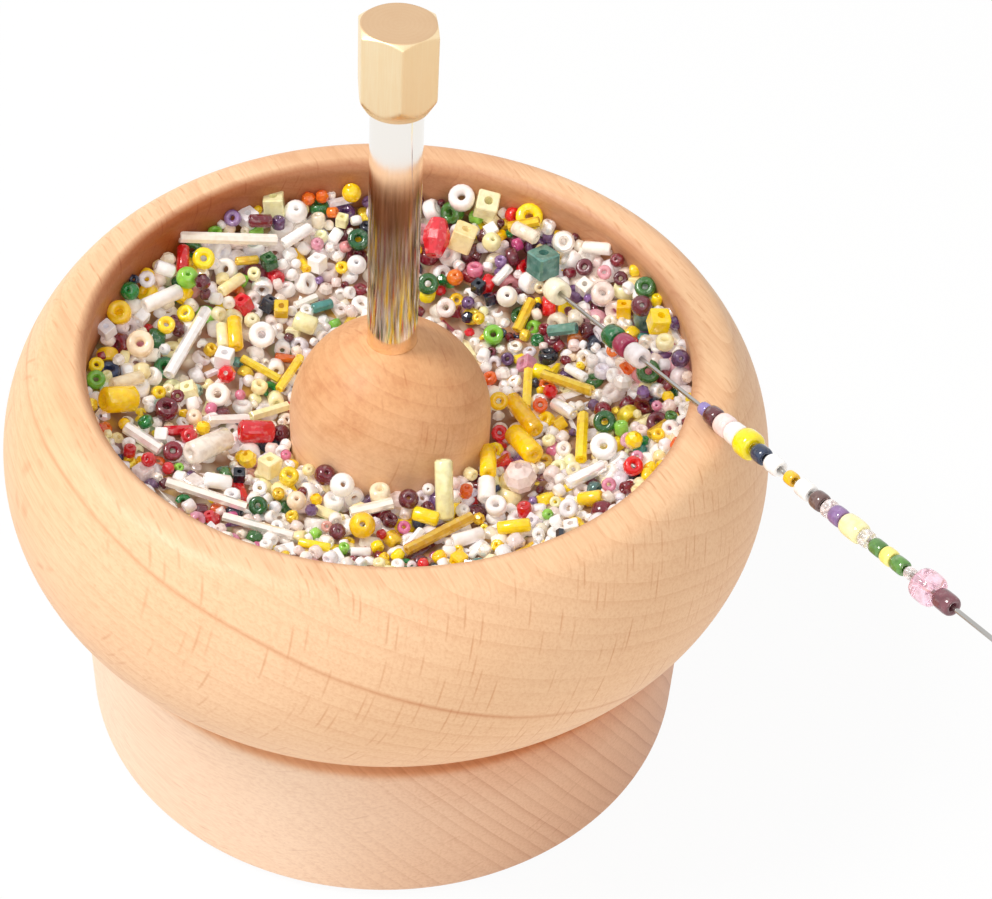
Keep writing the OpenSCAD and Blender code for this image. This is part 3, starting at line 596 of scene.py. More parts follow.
def tube_section(d, l, hole, bevel):
    """A rectangle with its outer corners cut."""
    o, h = d / 2, l / 2
    return np.array([[hole / 2, -h + 0.02], [o - bevel, -h], [o, -h + bevel], [o, h - bevel], [o - bevel, h],
                     [hole / 2, h - 0.02]])


def pearl_section(d, hole, n=8):
    """A circle from the hole's lower edge round the outside to its upper edge, closed along the hole."""
    a = math.acos(hole / d)
    t = np.linspace(-a, a, n)
    return np.stack([d / 2 * np.cos(t), d / 2 * np.sin(t)], -1)


def crystal_section(d, l, hole):
    """Two cones base to base with a narrow girdle."""
    return np.array([[hole / 2, -l / 2], [d * 0.3, -l / 2], [d / 2, -0.12 * l], [d / 2, 0.12 * l], [d * 0.3, l / 2],
                     [hole / 2, l / 2]])


def balls_of(d, l):
    """Balls (x, y, z, radius) that fill a bead of diameter d and length l, for packing it."""
    if l > d * 1.15:
        n = max(2, int(round(l / (d * 0.45))))
        z = np.linspace(-(l - d) / 2, (l - d) / 2, n)
        return np.stack([0 * z, 0 * z, z, 0 * z + d / 2], -1)
    if l > d * 0.85:
        return np.array([[0, 0, 0, (d + l) / 4]])
    t = TURN * np.arange(10) / 10
    rim = d / 2 - l / 2
    ring = np.stack([rim * np.cos(t), rim * np.sin(t), 0 * t, 0 * t + l / 2], -1)
    return np.vstack([ring, [[0, 0, 0, l / 2]]])


def shape_of(family, d, l):
    """Mesh and packing balls of a bead of that family, d across and l along its hole."""
    small = d < 3
    if family == "seed":
        mesh = ring_bead(donut_section(d, l, 0.28 * d, 6 if small else 8, 0.66), nu=10 if small else 16)
    elif family == "tube":
        mesh = ring_bead(tube_section(d, l, 0.34 * d, 0.12 * d), nu=10 if small else 16)
    elif family == "pearl":
        mesh = ring_bead(pearl_section(d, 0.22 * d, 6 if small else 9), nu=10 if small else 18)
    elif family == "cube":
        mesh = ring_bead(tube_section(d, l, 0.4 * d, 0.05 * d), corners=4, smooth=False)
    elif family == "crystal":
        mesh = ring_bead(crystal_section(d, l, 0.2 * d), nu=9, smooth=False)
    elif family == "bugle":
        mesh = ring_bead(tube_section(d, l, 0.4 * d, 0.06 * d), nu=8 if d > 1.8 else 6, smooth=False)
    else:
        mesh = ring_bead(pearl_section(d, 0.25 * d, 5), nu=8, smooth=False)
    return (*mesh, balls_of(d, l))


# Shares of the loose fill: family, share, least and most diameter, length over diameter
FILL = [("seed", 0.28, 2.1, 3.1, 0.72), ("tube", 0.24, 1.9, 2.9, 0.95), ("pearl", 0.07, 1.8, 2.8, 1.0),
        ("cube", 0.06, 2.0, 2.8, 1.0), ("gem", 0.14, 2.0, 3.0, 1.0), ("bugle", 0.09, 1.4, 2.0, 3.0),
        ("seed", 0.09, 3.2, 4.2, 0.62), ("crystal", 0.03, 2.6, 3.6, 0.9)]
CHIPS = [("seed", 0.4, 1.4, 2.0, 0.7), ("tube", 0.35, 1.3, 1.9, 0.95), ("gem", 0.25, 1.4, 2.0, 1.0)]

TONES = ["white", "clear", "silver", "cream", "yellow", "gold", "orange", "red", "burgundy", "pink", "purple", "navy",
         "teal", "green", "lime"]
TONE_SHARES = np.array([24, 22, 9, 10, 9.5, 5.5, 3, 4, 7, 5, 3.5, 2.6, 1.6, 3.4, 2], float)
# Where a tone is commoner: centre, reach, tones and factor
CROWDS = [(-17, 29, 9, ("white", "clear"), 9.0), (-34, 4, 14, ("cream", "white", "clear"), 2.5),
          (-22, -34, 16, ("white", "clear", "silver"), 2.5), (22, -22, 18, ("yellow", "white", "gold"), 2.0),
          (32, 26, 14, ("burgundy", "pink", "clear"), 2.0), (14, 36, 14, ("navy", "purple", "green", "burgundy"), 4.0)]

# Beads that catch the eye, read off the photograph in its pixels: tone and family, then the two ends and the
# width of one that lies along the load, or the middle and the width of any other, with "up" where its hole stands
# nearly upright instead of leaning to the viewer
READ = """
white bugle 180 247 276 250 12; red tube 185 252 184 278 13; yellow seed 205 269 23; lime pearl 188 290 23;
white tube 143 313 178 297 16; white tube 158 277 176 283 14; clear seed 148 288 17; green pearl 125 293 19;
navy seed 135 285 11; yellow seed 109 313 25; yellow seed 132 328 26; yellow seed 168 322 22; yellow seed 184 317 18;
yellow seed 167 336 18; cream seed 140 353 28; white cube 110 338 17 up; red pearl 93 339 13; yellow seed 90 362 16;
lime seed 95 382 19; silver bugle 205 318 167 383 12; yellow tube 235 328 237 358 15; cream tube 222 330 224 353 12;
white seed 262 347 27; orange tube 277 355 297 358 9; gold bugle 242 362 280 383 9; gold bugle 302 360 280 393 9;
white cube 223 365 20 up; red gem 225 379 20; white seed 218 400 25; cream tube 220 295 242 280 12;
red cube 245 305 18 up; navy cube 270 307 16 up; gold cube 283 319 17 up; cream pearl 252 323 17;
teal tube 312 313 332 307 11; cream tube 296 326 318 334 19; green cube 268 265 16 up; white pearl 298 222 24;
white tube 310 235 283 252 12; cream cube 273 208 24 up; white cube 246 216 20 up; orange seed 292 200 15;
orange gem 305 198 15 up; orange gem 323 197 15 up; clear seed 334 207 21 up; yellow pearl 350 203 20 up;
pink pearl 317 245 14; green seed 357 248 22; purple seed 230 223 17; navy seed 243 230 15; pink seed 193 233 17;
lime seed 213 230 15 up; purple pearl 207 238 12; burgundy tube 248 233 270 233 14; purple tube 279 230 13 up;
clear seed 167 247 20 up; gold seed 147 258 16 up; yellow seed 142 273 18; cream cube 343 223 13 up;
white cube 318 268 18 up; yellow seed 340 272 13; white pearl 355 272 20; burgundy tube 227 276 15 up;
burgundy gem 203 305 18 up; gold tube 235 262 257 260 9; cream seed 177 350 20 up; white tube 100 363 122 375 12;
cream tube 110 394 140 385 14; cream cube 188 393 17 up; burgundy seed 177 403 14; yellow tube 104 413 136 411 27;
silver bugle 125 432 160 455 13; burgundy seed 165 418 24 up; green seed 148 428 16 up; red pearl 188 445 18;
burgundy seed 172 457 20; red tube 130 457 13 up; red pearl 150 470 16; cream pearl 193 420 17;
yellow gem 205 432 16 up; yellow gem 223 441 14 up; white bugle 208 424 248 423 10; cream bugle 250 421 287 410 11;
cream seed 259 393 17 up; red tube 240 440 274 441 23; burgundy pearl 284 440 18; pink pearl 288 459 12;
clear tube 293 445 313 462 14; clear tube 190 467 227 450 24; gold gem 247 467 20 up; cream cube 268 472 22 up;
silver tube 288 467 12 up; gold seed 288 480 20 up; cream pearl 310 470 14; white tube 203 483 230 487 16;
white seed 233 499 18 up; navy cube 241 484 14 up; white seed 260 492 16; green seed 260 511 20;
gold pearl 278 497 14; cream pearl 295 503 20; burgundy pearl 327 482 22; yellow gem 318 500 14 up;
white pearl 352 482 25; red gem 335 510 26; cream tube 380 488 21 up; cream seed 367 500 14;
silver bugle 350 518 393 508 12; burgundy pearl 337 535 18; pink seed 327 530 12; yellow pearl 360 537 27;
silver bugle 167 488 247 514 10; silver bugle 223 521 293 541 9; yellow tube 298 545 330 551 9;
lime tube 342 551 11 up; white tube 352 553 372 553 9; gold seed 290 520 14 up; white seed 278 527 14 up;
gold bugle 530 372 528 410 10; gold bugle 543 380 592 397 11; orange seed 540 412 16; red gem 550 395 16 up;
silver tube 555 405 575 417 14; yellow tube 512 408 537 440 18; yellow seed 498 418 19; red seed 499 438 17;
yellow tube 512 442 533 465 22; cream seed 550 447 14 up; white seed 561 453 16; cream tube 569 430 569 457 14;
yellow bugle 584 420 582 465 12; burgundy pearl 600 418 18; navy seed 616 415 18; green seed 603 434 24;
lime tube 621 433 14 up; white seed 602 457 28; yellow gem 632 452 20 up; pink seed 635 464 13; red seed 629 476 20;
purple gem 639 405 15 up; pink pearl 655 415 12; green seed 670 422 13 up; yellow tube 657 443 13 up;
silver tube 565 492 603 473 14; cream seed 572 472 16; pink seed 608 490 15; yellow tube 580 503 603 500 14;
white seed 567 517 20; lime pearl 547 517 12; clear pearl 540 529 14; cream seed 557 504 12; clear gem 517 487 36 up;
gold bugle 547 458 542 508 17; yellow tube 488 458 488 483 17; white seed 467 473 27 up;
white tube 487 484 487 505 18; white seed 497 514 22 up; white pearl 425 487 13; yellow tube 412 520 437 527 15;
gold bugle 405 553 470 520 12; gold bugle 400 545 455 527 8; white pearl 462 512 15; white tube 452 548 483 539 15;
yellow tube 497 535 530 531 14; red tube 522 517 15 up; orange tube 465 498 13 up; burgundy pearl 406 507 21;
pink seed 404 528 14; clear gem 475 529 19 up; white seed 461 208 27; cream cube 485 216 26; yellow seed 532 220 28;
silver tube 546 235 14 up; gold bugle 552 227 583 242 13; silver seed 563 250 23; gold bugle 507 248 538 242 11;
red crystal 437 236 432 272 27; cream cube 463 248 27 up; cream pearl 490 252 20; orange pearl 488 265 14;
clear tube 510 255 533 267 14; white tube 582 255 610 257 13; burgundy seed 586 270 18; burgundy pearl 615 268 15;
burgundy seed 618 286 15; clear pearl 632 280 17; pink seed 603 282 15; green seed 642 298 22;
silver cube 583 288 17 up; clear seed 602 304 24; yellow cube 622 313 17 up; burgundy pearl 641 320 22;
yellow cube 655 336 23 up; purple gem 672 334 16 up; red gem 612 322 19 up; teal cube 540 280 29 up;
clear gem 565 320 26 up; teal bugle 547 340 575 337 12; lime seed 493 340 21; white gem 478 350 33 up;
orange pearl 453 284 17; pink seed 473 274 17 up; silver tube 492 290 508 273 10; navy cube 480 293 14 up;
navy cube 488 304 12 up; navy gem 468 323 13 up; purple pearl 468 309 14; green seed 426 297 22;
clear seed 444 314 20; white pearl 506 307 22; gold bugle 530 302 515 333 11; white tube 531 308 556 326 16;
gold pearl 480 327 14; cream seed 661 356 19 up; purple pearl 677 375 19; green seed 648 383 25;
white gem 621 391 20 up; orange seed 488 383 15 up; white gem 508 398 18 up; orange seed 610 358 13;
white tube 568 372 587 383 10; burgundy seed 567 366 12 up
"""
READ_LEVEL = 2.6  # how far the load was raised on the right when they were read
READ_WIDTH = {"cube": 0.86, "gem": 0.95}  # what of the width seen is the diameter
READ_LENGTH = {"seed": 0.62, "tube": 0.95}  # length over diameter, where it isn't 1
# One that stands against its neighbours: the same, but already in mm and degrees as read_beads gives them
STANDING = ("cream", "tube", 2.9, 9.4, 8.5, -19.6, 36, 95)


def sighted(px, py):
    """Where the line of sight through a pixel meets the middle of a bead on the load: height and place in turn."""
    ray = FOCAL_PX * FORWARD + (px - PHOTO_W / 2) * CAM_X - (py - PHOTO_H / 2) * CAM_Y
    z = 60.0
    for _ in range(30):
        spot = VIEWPOINT + ray * (z - VIEWPOINT[2]) / ray[2]
        z = (z + BOWL_Z + load_level(spot[0], spot[1], READ_LEVEL) + 0.5) / 2
    return spot


def read_beads():
    """The beads of READ: tone, family, diameter, length, x and y to 0.1 mm, then the tilt of the hole from upright
    and the heading that it leans to, in whole degrees."""
    guess = np.random.default_rng(5)
    for row in READ.replace("\n", " ").split(";"):
        tone, family, *numbers = row.split()
        up = numbers[-1] == "up"
        *ends, width = map(float, numbers[:-1] if up else numbers)
        points = [sighted(*ends[k:k + 2]) for k in range(0, len(ends), 2)]
        spot = sum(points) / len(points)
        d = width * ((spot - VIEWPOINT) @ FORWARD) / FOCAL_PX * READ_WIDTH.get(family, 1)
        l = d * READ_LENGTH.get(family, 1)
        if len(points) == 2:
            along = points[1] - points[0]
            l = np.linalg.norm(along)
            tilt, lean = math.degrees(math.acos(along[2] / l)), math.degrees(math.atan2(along[1], along[0]))
        elif up:
            tilt, lean = guess.integers(4, 24), guess.integers(-180, 180)
        else:
            tilt, lean = 40 + guess.integers(-10, 10), -90 + guess.integers(-25, 25)
        sizes = [round(float(size), 1) for size in (d, l, spot[0], spot[1])]
        yield tone, family, *sizes, round(float(tilt)), round(float(lean))


# The height map's cells and half width, the radius where the wall begins, and how deep the mapped beads reach
CELL, HALF, HEAP_R, BED = 0.25, 52.0, 49.2, 1.6
SIDE = int(2 * HALF / CELL) + 1
# Heights that stand for the wall, for nothing overhead and for a bead that later ones keep off
WALL_TOP, OPEN_SKY, KEEP_OFF = 200.0, 500.0, 150.0
rng = np.random.default_rng(20240611)


def turn_matrix(tilt, lean, spin):
    """Rotation that tips a bead by tilt towards the direction lean, after a spin about its own axis."""
    ct, st, cl, sl, cs, ss = (math.cos(tilt), math.sin(tilt), math.cos(lean), math.sin(lean), math.cos(spin),
                              math.sin(spin))
    tip = np.array([[cl, -sl, 0], [sl, cl, 0], [0, 0, 1]]) @ np.array([[ct, 0, st], [0, 1, 0], [-st, 0, ct]])
    return tip @ np.array([[cs, -ss, 0], [ss, cs, 0], [0, 0, 1]])


def envelope(balls, turn):
    """Grid offsets that a turned bead covers, with the height of its underside and its top over its centre."""
    c = balls[:, :3] @ turn.T
    r = balls[:, 3]
    reach = np.ceil((abs(c[:, :2]).max(1) + r).max() / CELL)
    g = np.arange(-reach, reach + 1)
    gx, gy = np.meshgrid(g, g, indexing="ij")
    gx, gy = gx.ravel().astype(int), gy.ravel().astype(int)
    d2 = (gx[:, None] * CELL - c[None, :, 0]) ** 2 + (gy[:, None] * CELL - c[None, :, 1]) ** 2
    inside = d2 < r[None, :] ** 2
    h = np.sqrt(np.maximum(r[None, :] ** 2 - d2, 0))
    low = np.where(inside, c[None, :, 2] - h, 1e3).min(1)
    top = np.where(inside, c[None, :, 2] + h, -1e3).max(1)
    keep = inside.any(1)
    return gx[keep], gy[keep], low[keep], top[keep]


def tilt_choice(long):
    """Long beads lie down; the others lie at any tilt, more often flat or on edge."""
    if long:
        return math.pi / 2 - abs(rng.normal(0, 0.16))
    tilts = [rng.normal(0, 0.25), math.pi / 2 + rng.normal(0, 0.25), rng.uniform(0.6, math.pi / 2)]
    return tilts[rng.choice(3, p=(0.12, 0.44, 0.44))]


class Heap:
    """Height map of the load, on which beads are dropped one by one, each where it comes to lie lowest."""

    def __init__(self):
        g = -HALF + CELL * np.arange(SIDE)
        self.x, self.y = np.meshgrid(g, g, indexing="ij")
        r = np.hypot(self.x, self.y)
        self.level = load_level(self.x, self.y)
        self.h = load_h(r) - BED
        dome = r < DOME_R
        self.h[dome] = DOME_H + np.sqrt(DOME_R**2 - r[dome] ** 2)
        self.h[r > HEAP_R] = WALL_TOP
        self.roof = np.full(self.h.shape, OPEN_SKY)
        self.beads = []

    def cover(self, points, radii, room):
        """Nothing may rise into these balls, which belong to the needle."""
        for p, b in zip(points, radii):
            d2 = (self.x - p[0]) ** 2 + (self.y - p[1]) ** 2
            near = d2 < (b + room) ** 2
            self.roof[near] = np.minimum(self.roof[near], p[2] - np.sqrt(np.maximum((b + room) ** 2 - d2[near], 0)))

    def settle(self, balls, ways, spots):
        """Lowest rest, over the load's level, among the given ways to turn a bead and the given spots."""
        best = None
        for turn in ways:
            gx, gy, low, top = envelope(balls, turn)
            i = np.rint((spots[:, 0] + HALF) / CELL).astype(int)[:, None] + gx[None, :]
            j = np.rint((spots[:, 1] + HALF) / CELL).astype(int)[:, None] + gy[None, :]
            i, j = np.clip(i, 0, SIDE - 1), np.clip(j, 0, SIDE - 1)
            z = (self.h[i, j] - low[None, :]).max(1)
            blocked = ((z[:, None] + top[None, :]) > self.roof[i, j]).any(1)
            over = z - load_level(spots[:, 0], spots[:, 1]) + blocked * 100
            k = int(over.argmin())
            if best is None or over[k] < best[0]:
                best = (over[k], turn, spots[k], z[k], (i[k], j[k], top))
        return best

    def add(self, shape, tone, long, rest, guard=0.0):
        """Leaves the bead there. A guard keeps later beads off its middle, which is that share of its height."""
        over, turn, spot, z, (i, j, top) = rest
        self.h[i, j] = np.maximum(self.h[i, j], z + top)
        if guard:
            core = top > guard * top.max()
            self.h[i[core], j[core]] = KEEP_OFF
        self.beads.append((shape, tone, long, turn, np.array([spot[0], spot[1], z])))


def random_spots(n, low=DOME_R + 1.2, high=48.0):
    """Spots spread evenly over the ring between the boss and the wall."""
    r = np.sqrt(rng.uniform(low**2, high**2, n))
    t = rng.uniform(0, TURN, n)
    return np.stack([r * np.cos(t), r * np.sin(t)], -1)


def tone_at(x, y):
    """A tone drawn by the shares of that place."""
    shares = TONE_SHARES.copy()
    for cx, cy, reach, tones, factor in CROWDS:
        near = math.exp(-((x - cx) ** 2 + (y - cy) ** 2) / reach**2)
        for tone in tones:
            shares[TONES.index(tone)] *= 1 + (factor - 1) * near
    return TONES[rng.choice(len(TONES), p=shares / shares.sum())]


def drop(heap, table, share, limit, spots):
    """Drops one bead from the table's shares on the best of the spots; false if it would lie over the limit."""
    shares = np.array([row[1] for row in table])
    family, _, least, most, ratio = table[rng.choice(len(table), p=shares / shares.sum()) if share is None else share]
    d = rng.uniform(least, most)
    l = ratio * d * rng.uniform(0.9, 1.15)
    long = l > 2 * d
    shape = shape_of(family, d, l)
    ways = [turn_matrix(tilt_choice(long), rng.uniform(0, TURN), rng.uniform(0, TURN)) for _ in range(4)]
    rest = heap.settle(shape[3], ways, spots)
    if rest[0] > limit:
        return False
    heap.add(shape, tone_at(*rest[2]), long, rest)
    return True


def fill(heap, limit, patience, share=None):
    """Drops beads until, many times in a row, none finds a rest less than limit above the load's level."""
    missed = 0
    while missed < patience:
        missed = 0 if drop(heap, FILL, share, limit, random_spots(14)) else missed + 1


def top_up(heap, table, depth, limit, patience):
    """Drops beads into the hollows that are still deeper than depth under the load's level."""
    r = np.hypot(heap.x, heap.y)
    ring = (r > DOME_R + 0.9) & (r < 48.6)
    missed = 0
    while missed < patience:
        i, j = np.nonzero(ring & (heap.level - heap.h > depth))
        if not len(i):
            return
        k = rng.integers(len(i), size=10)
        spots = np.stack([heap.x[i[k], j[k]], heap.y[i[k], j[k]]], -1)
        missed = 0 if drop(heap, table, None, limit, spots) else missed + 1


# Needle: its point rests on the load, and it leaves over the rim
NEEDLE_D, NEEDLE_IN = 0.7, 60.0
HEADING, SLOPE = math.radians(-63.4), math.radians(12.9)
POINT = np.array([38.3 * math.cos(math.radians(46.7)), 38.3 * math.sin(math.radians(46.7)), BOWL_Z + 33.0])
LENGTHWISE = np.array([math.cos(SLOPE) * math.cos(HEADING), math.cos(SLOPE) * math.sin(HEADING), math.sin(SLOPE)])
# Strung beads: light let through, then each bead's place along the needle, diameter, length and colour
STRUNG = {
    "strung_white": (0.1, "white_glass", [
        (3.9, 4.4, 3.6, (250, 246, 222)), (30.4, 3.7, 3.6, (246, 240, 242)), (56.2, 3.6, 2.8, (250, 228, 224)),
        (59.1, 3.6, 2.8, (252, 248, 246)), (69.4, 2.8, 3, (254, 253, 252)), (77.2, 2.8, 3, (254, 252, 250)),
        (88.8, 3.4, 4, (254, 246, 190))]),
    "strung_clear": (0.85, "clear_glass", [
        (83, 2.8, 1.4, (254, 246, 244)), (91.7, 2.6, 1.6, (254, 252, 248)), (101.4, 1.8, 1.2, (250, 244, 244)),
        (105.2, 4.8, 3.4, (252, 222, 236))]),
    "strung_yellow": (0.12, "yellow_glass", [
        (62.4, 4.6, 3.2, (252, 232, 8)), (73.6, 2.2, 1.8, (250, 206, 10)), (96.8, 2.6, 2, (254, 242, 140))]),
    "strung_green": (0.3, "green_glass", [
        (23, 3.9, 3, (16, 136, 74)), (94.4, 2.4, 2.4, (106, 158, 78)), (99.2, 2.4, 2.4, (112, 170, 76))]),
    "strung_purple": (0.2, "purple_glass", [
        (26.5, 3.9, 2.8, (186, 56, 100)), (50.6, 2.2, 1.8, (158, 140, 204)), (53.1, 3.2, 2.6, (112, 54, 60)),
        (85.2, 2.9, 2.4, (160, 124, 178))]),
    "strung_brown": (0.1, "burgundy_glass", [(80.6, 2.9, 2.2, (120, 92, 88)), (109, 3, 3.2, (128, 74, 84))]),
    "strung_blue": (0.1, "navy_glass", [(65.8, 2.9, 2.6, (46, 62, 92))]),
}

heap = Heap()
t = np.arange(0, NEEDLE_IN, 0.4)
lift = np.array([0, 0, -BOWL_Z])
heap.cover(POINT + t[:, None] * LENGTHWISE + lift, np.full(len(t), NEEDLE_D / 2), 0.3)
for _, _, beads in STRUNG.values():
    heap.cover([POINT + b[0] * LENGTHWISE + lift for b in beads], [b[1] / 2 for b in beads], 0.3)
# Large seed beads first, then a bed of all kinds, the placed beads, and the rest round them
fill(heap, -0.4, 25, share=6)
fill(heap, 0.0, 60)
for tone, family, d, l, x, y, tilt, lean in [*read_beads(), STANDING]:
    shape = shape_of(family, d, l)
    r = math.hypot(x, y)
    room = d / 2 if l < 1.3 * d else 0.6 * d
    r_fit = min(max(r, DOME_R + room + 0.2), 49.0 - room)
    near = np.array([[x * r_fit / r, y * r_fit / r]]) + rng.uniform(-0.35, 0.35, (6, 2))
    ways = [turn_matrix(math.radians(tilt), math.radians(lean), rng.uniform(0, TURN)) for _ in range(2)]
    rest = heap.settle(shape[3], ways, near)
    if rest[0] < 20:
        heap.add(shape, tone, l > 2 * d, rest, guard=0.35)
fill(heap, 1.0, 120)
top_up(heap, FILL, 1.2, 1.2, 60)
top_up(heap, CHIPS, 1.0, 0.8, 60)

# Colours that the beads of a tone take, how much light goes through, how much of a metal lining shows, roughness
GLASS = {
    "white": ([(254, 253, 252), (242, 234, 230), (254, 250, 246), (236, 234, 238), (252, 244, 232)], 0.0, 0.0, 0.14),
    "clear": ([(254, 252, 249), (252, 236, 230), (246, 241, 249), (251, 245, 240), (254, 245, 224), (252, 234, 232)],
              0.28, 0.0, 0.06),
    "silver": ([(254, 252, 250), (242, 238, 236), (252, 246, 234), (240, 234, 240)], 0.0, 0.4, 0.12),
    "cream": ([(252, 250, 210), (250, 232, 176), (246, 244, 196), (252, 230, 204)], 0.12, 0.0, 0.16),
    "yellow": ([(255, 234, 24), (253, 214, 0), (255, 226, 40), (248, 202, 0)], 0.12, 0.0, 0.14),
    "gold": ([(255, 232, 70), (238, 198, 30), (248, 226, 60), (230, 190, 70)], 0.2, 0.3, 0.16),
    "orange": ([(246, 140, 40), (236, 92, 20), (214, 126, 40)], 0.25, 0.0, 0.12),
    "red": ([(240, 26, 32), (206, 14, 26), (232, 44, 60)], 0.2, 0.0, 0.1),
    "burgundy": ([(164, 34, 56), (104, 24, 42), (136, 60, 76)], 0.3, 0.0, 0.1),
    "pink": ([(248, 214, 214), (230, 96, 168), (244, 190, 176), (238, 170, 200)], 0.35, 0.0, 0.1),
    "purple": ([(176, 140, 194), (98, 54, 110), (128, 92, 132), (150, 108, 176)], 0.3, 0.1, 0.1),
    "navy": ([(44, 58, 96), (22, 26, 36), (60, 66, 84)], 0.0, 0.2, 0.1),
    "teal": ([(24, 138, 136), (168, 186, 164), (40, 96, 100)], 0.1, 0.25, 0.12),
    "green": ([(26, 156, 72), (18, 98, 48), (92, 150, 60)], 0.35, 0.0, 0.1),
    "lime": ([(164, 220, 84), (128, 196, 60)], 0.15, 0.0, 0.12),
}


def glass(name, colours, through, mirror, rough):
    """Pressed glass: tones told apart bead by bead and a fire-polished gloss, with painted light and shade inside:
    swirls and patches of painted shade, pale painted glints, painted shade where it is seen edge on, and a faint glow.
    """
    f = finish_of(f"{name}_glass")
    p = f.place()
    bead = f.node("ShaderNodeAttribute", {"attribute_name": "tint"}, out="Fac")
    swirl = f.noise(p, 1100.0, 2.0)
    colours = colours * 2 if len(colours) == 1 else colours
    stops = [(k / (len(colours) - 1), rgb(*colour)) for k, colour in enumerate(colours)]
    colour = f.node("ShaderNodeValToRGB", {"stops": stops}, {"Fac": bead})
    # Painted shade: darker swirls inside the glass
    painted_swirl_shade = (swirl * 3.6 - 1.5).clip() * (0.16 + 0.8 * through)
    colour = f.mix(painted_swirl_shade, colour, rgb(206, 190, 182), "MULTIPLY")
    # Painted shade: patches where the colour is deepened
    painted_deep_patches = (f.noise(p, 760.0, 1.0) * 5.0 - 2.3).clip() * 0.35
    colour = f.mix(painted_deep_patches, colour, colour, "MULTIPLY")
    # Painted glints: pale patches inside the glass
    light = (f.noise(p, 1300.0, 1.0) * 5.0 - 2.8).clip() * (0.06 + 0.4 * through)
    colour = f.mix(light, colour, rgb(255, 252, 246))
    # Painted shade: the glass is deepest where it is seen edge on, and clear glass is greyed there too
    edge = f.node("ShaderNodeLayerWeight", (), {"Blend": 0.4}, out="Facing") ** 2.0
    colour = f.mix(edge * (0.25 + through), colour, colour, "MULTIPLY")
    if through > 0.25:
        colour = f.mix(edge * 0.5, colour, rgb(196, 184, 176), "MULTIPLY")
    # The beads glow faintly with their own colour: painted light that lifts their shaded sides
    return f.skin(Base_Color=colour, Roughness=(rough + (swirl - 0.5) * 0.08).clip(), Metallic=mirror,
                  Transmission_Weight=through, IOR=1.5, Coat_Weight=0.5, Coat_Roughness=0.04,
                  Emission_Color=colour, Emission_Strength=0.13)


PAINT = {tone: glass(tone, *look) for tone, look in GLASS.items()}


def join(beads):
    """One mesh from beads of points, quads, smooth flags and a tint that all the points of a bead share."""
    points, faces, smooth, tints = zip(*beads)
    starts = np.cumsum([0] + [len(p) for p in points])
    return (np.vstack(points), np.vstack([q + start for q, start in zip(faces, starts)]), np.concatenate(smooth),
            np.concatenate([np.full(len(p), tint) for p, tint in zip(points, tints)]))


lift = np.array([0, 0, BOWL_Z])
bugle_tones = {"white": "white_bugles", "gold": "gold_bugles", "silver": "silver_bugles"}
SLOTS = {"white": "white_glass", "clear": "clear_glass", "silver": "silver_lined_glass", "gold": "gold_lined_glass"}
for tone in TONES:
    mine = [b for b in heap.beads if b[1] == tone]
    long = [b for b in mine if b[2] and tone in bugle_tones]
    short = [b for b in mine if not (b[2] and tone in bugle_tones)]
    for beads, node in ((short, f"{tone}_beads"), (long, bugle_tones.get(tone))):
        if beads:
            points, faces, smooth, tint = join([(p @ turn.T + spot + lift, q, flags, rng.uniform(0, 1))
                                                for (p, q, flags, _), _, _, turn, spot in beads])
            make_piece(f"{node}_heap", points, faces, "bowl_unit", PAINT[tone],
                       SLOTS.get(tone, f"{tone}_glass"), [node], smooth=smooth, attributes={"tint": tint})

# ---- needle and strung beads ----

side = np.cross(LENGTHWISE, [0, 0, 1])
side /= np.linalg.norm(side)
NEEDLE_TURN = np.stack([side, np.cross(LENGTHWISE, side), LENGTHWISE], 1)


def on_needle(points):
    """From a frame whose Z runs along the needle from its point, into the row frame."""
    return points @ NEEDLE_TURN.T + POINT


NICKEL = metal("nickel_needle", rgb(196, 194, 190), rgb(150, 148, 146), LENGTHWISE, 0.05, roughness=0.14)
dress(NICKEL, "needle")

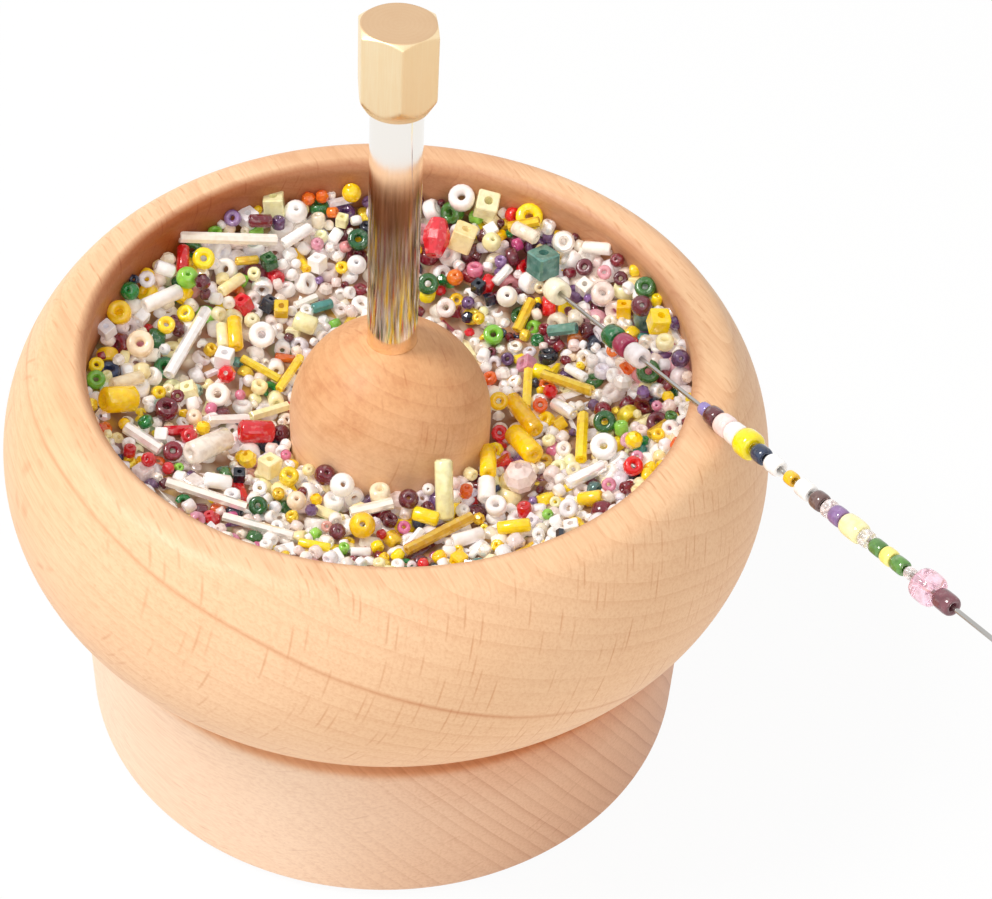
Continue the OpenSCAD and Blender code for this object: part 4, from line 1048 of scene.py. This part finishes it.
for node, (through, slot, beads) in STRUNG.items():
    parts = []
    for k, (t, d, l, _) in enumerate(beads):
        p, q, flags = ring_bead(donut_section(d, l, 1.0, 12, 0.6), nu=24)
        parts.append((on_needle(p + [0, 0, t]), q, flags, k / max(len(beads) - 1, 1)))
    points, faces, _, tint = join(parts)
    make_piece(f"{node}_on_needle", points, faces, "needle_unit", glass(node, [b[3] for b in beads], through, 0.0, 0.1),
               slot, [node], attributes={"tint": tint})


# ---- floor, light and camera ----

f = finish_of("white_floor")
plain = f.node("ShaderNodeBsdfDiffuse", (), {"Color": (0.9, 0.9, 0.9, 1)})
white = f.node("ShaderNodeEmission", (), {"Color": (1, 1, 1, 1), "Strength": 1.0})
mesh = bpy.data.meshes.new("floor")
mesh.from_pydata([(-4, -4, 0), (4, -4, 0), (4, 4, 0), (-4, 4, 0)], [], [(0, 1, 2, 3)])
mesh.materials.append(f.end(f.node("ShaderNodeMixShader", (), {0: f.seen() * 0.94, 1: plain, 2: white})))
floor = put("floor", mesh)

sky = Nodes(bpy.data.worlds.new("studio"))
soft = sky.node("ShaderNodeBackground", (), {"Color": (1, 0.99, 0.975, 1), "Strength": 0.57})
white = sky.node("ShaderNodeBackground", (), {"Color": (1, 1, 1, 1)})
bpy.context.scene.world = sky.end(sky.node("ShaderNodeMixShader", (), {0: sky.seen(), 1: soft, 2: white}),
                                  "ShaderNodeOutputWorld")


def lamp(name, place, aim, size, power, colour=(1, 1, 1)):
    """A square soft box at a place, turned to a point, both in metres."""
    data = bpy.data.lights.new(name, "AREA")
    data.shape, data.size, data.energy, data.color = "SQUARE", size, power, colour
    z = np.array(place, float) - np.array(aim, float)
    z /= np.linalg.norm(z)
    x = np.cross([0, 0, 1], z)
    x /= np.linalg.norm(x)
    stand(put(name, data), place, x, np.cross(z, x), z)


lamp("key_box", (-0.6, -0.08, 0.92), (0, 0, 0.06), 0.34, 8.2, (1, 0.99, 0.97))
lamp("front_box", (0.3, -0.96, 0.55), (0, 0, 0.05), 0.8, 2.5, (1, 0.985, 0.96))

SENSOR = 36.0
lens = bpy.data.cameras.new("photo_view")
lens.sensor_width, lens.lens = SENSOR, FOCAL_PX * SENSOR / PHOTO_W
lens.clip_start, lens.clip_end = 0.01, 20
camera = put("photo_view", lens)
stand(camera, VIEWPOINT * MM, CAM_X, CAM_Y, -FORWARD)
bpy.context.scene.camera = camera
bpy.context.scene.view_settings.view_transform = "Standard"
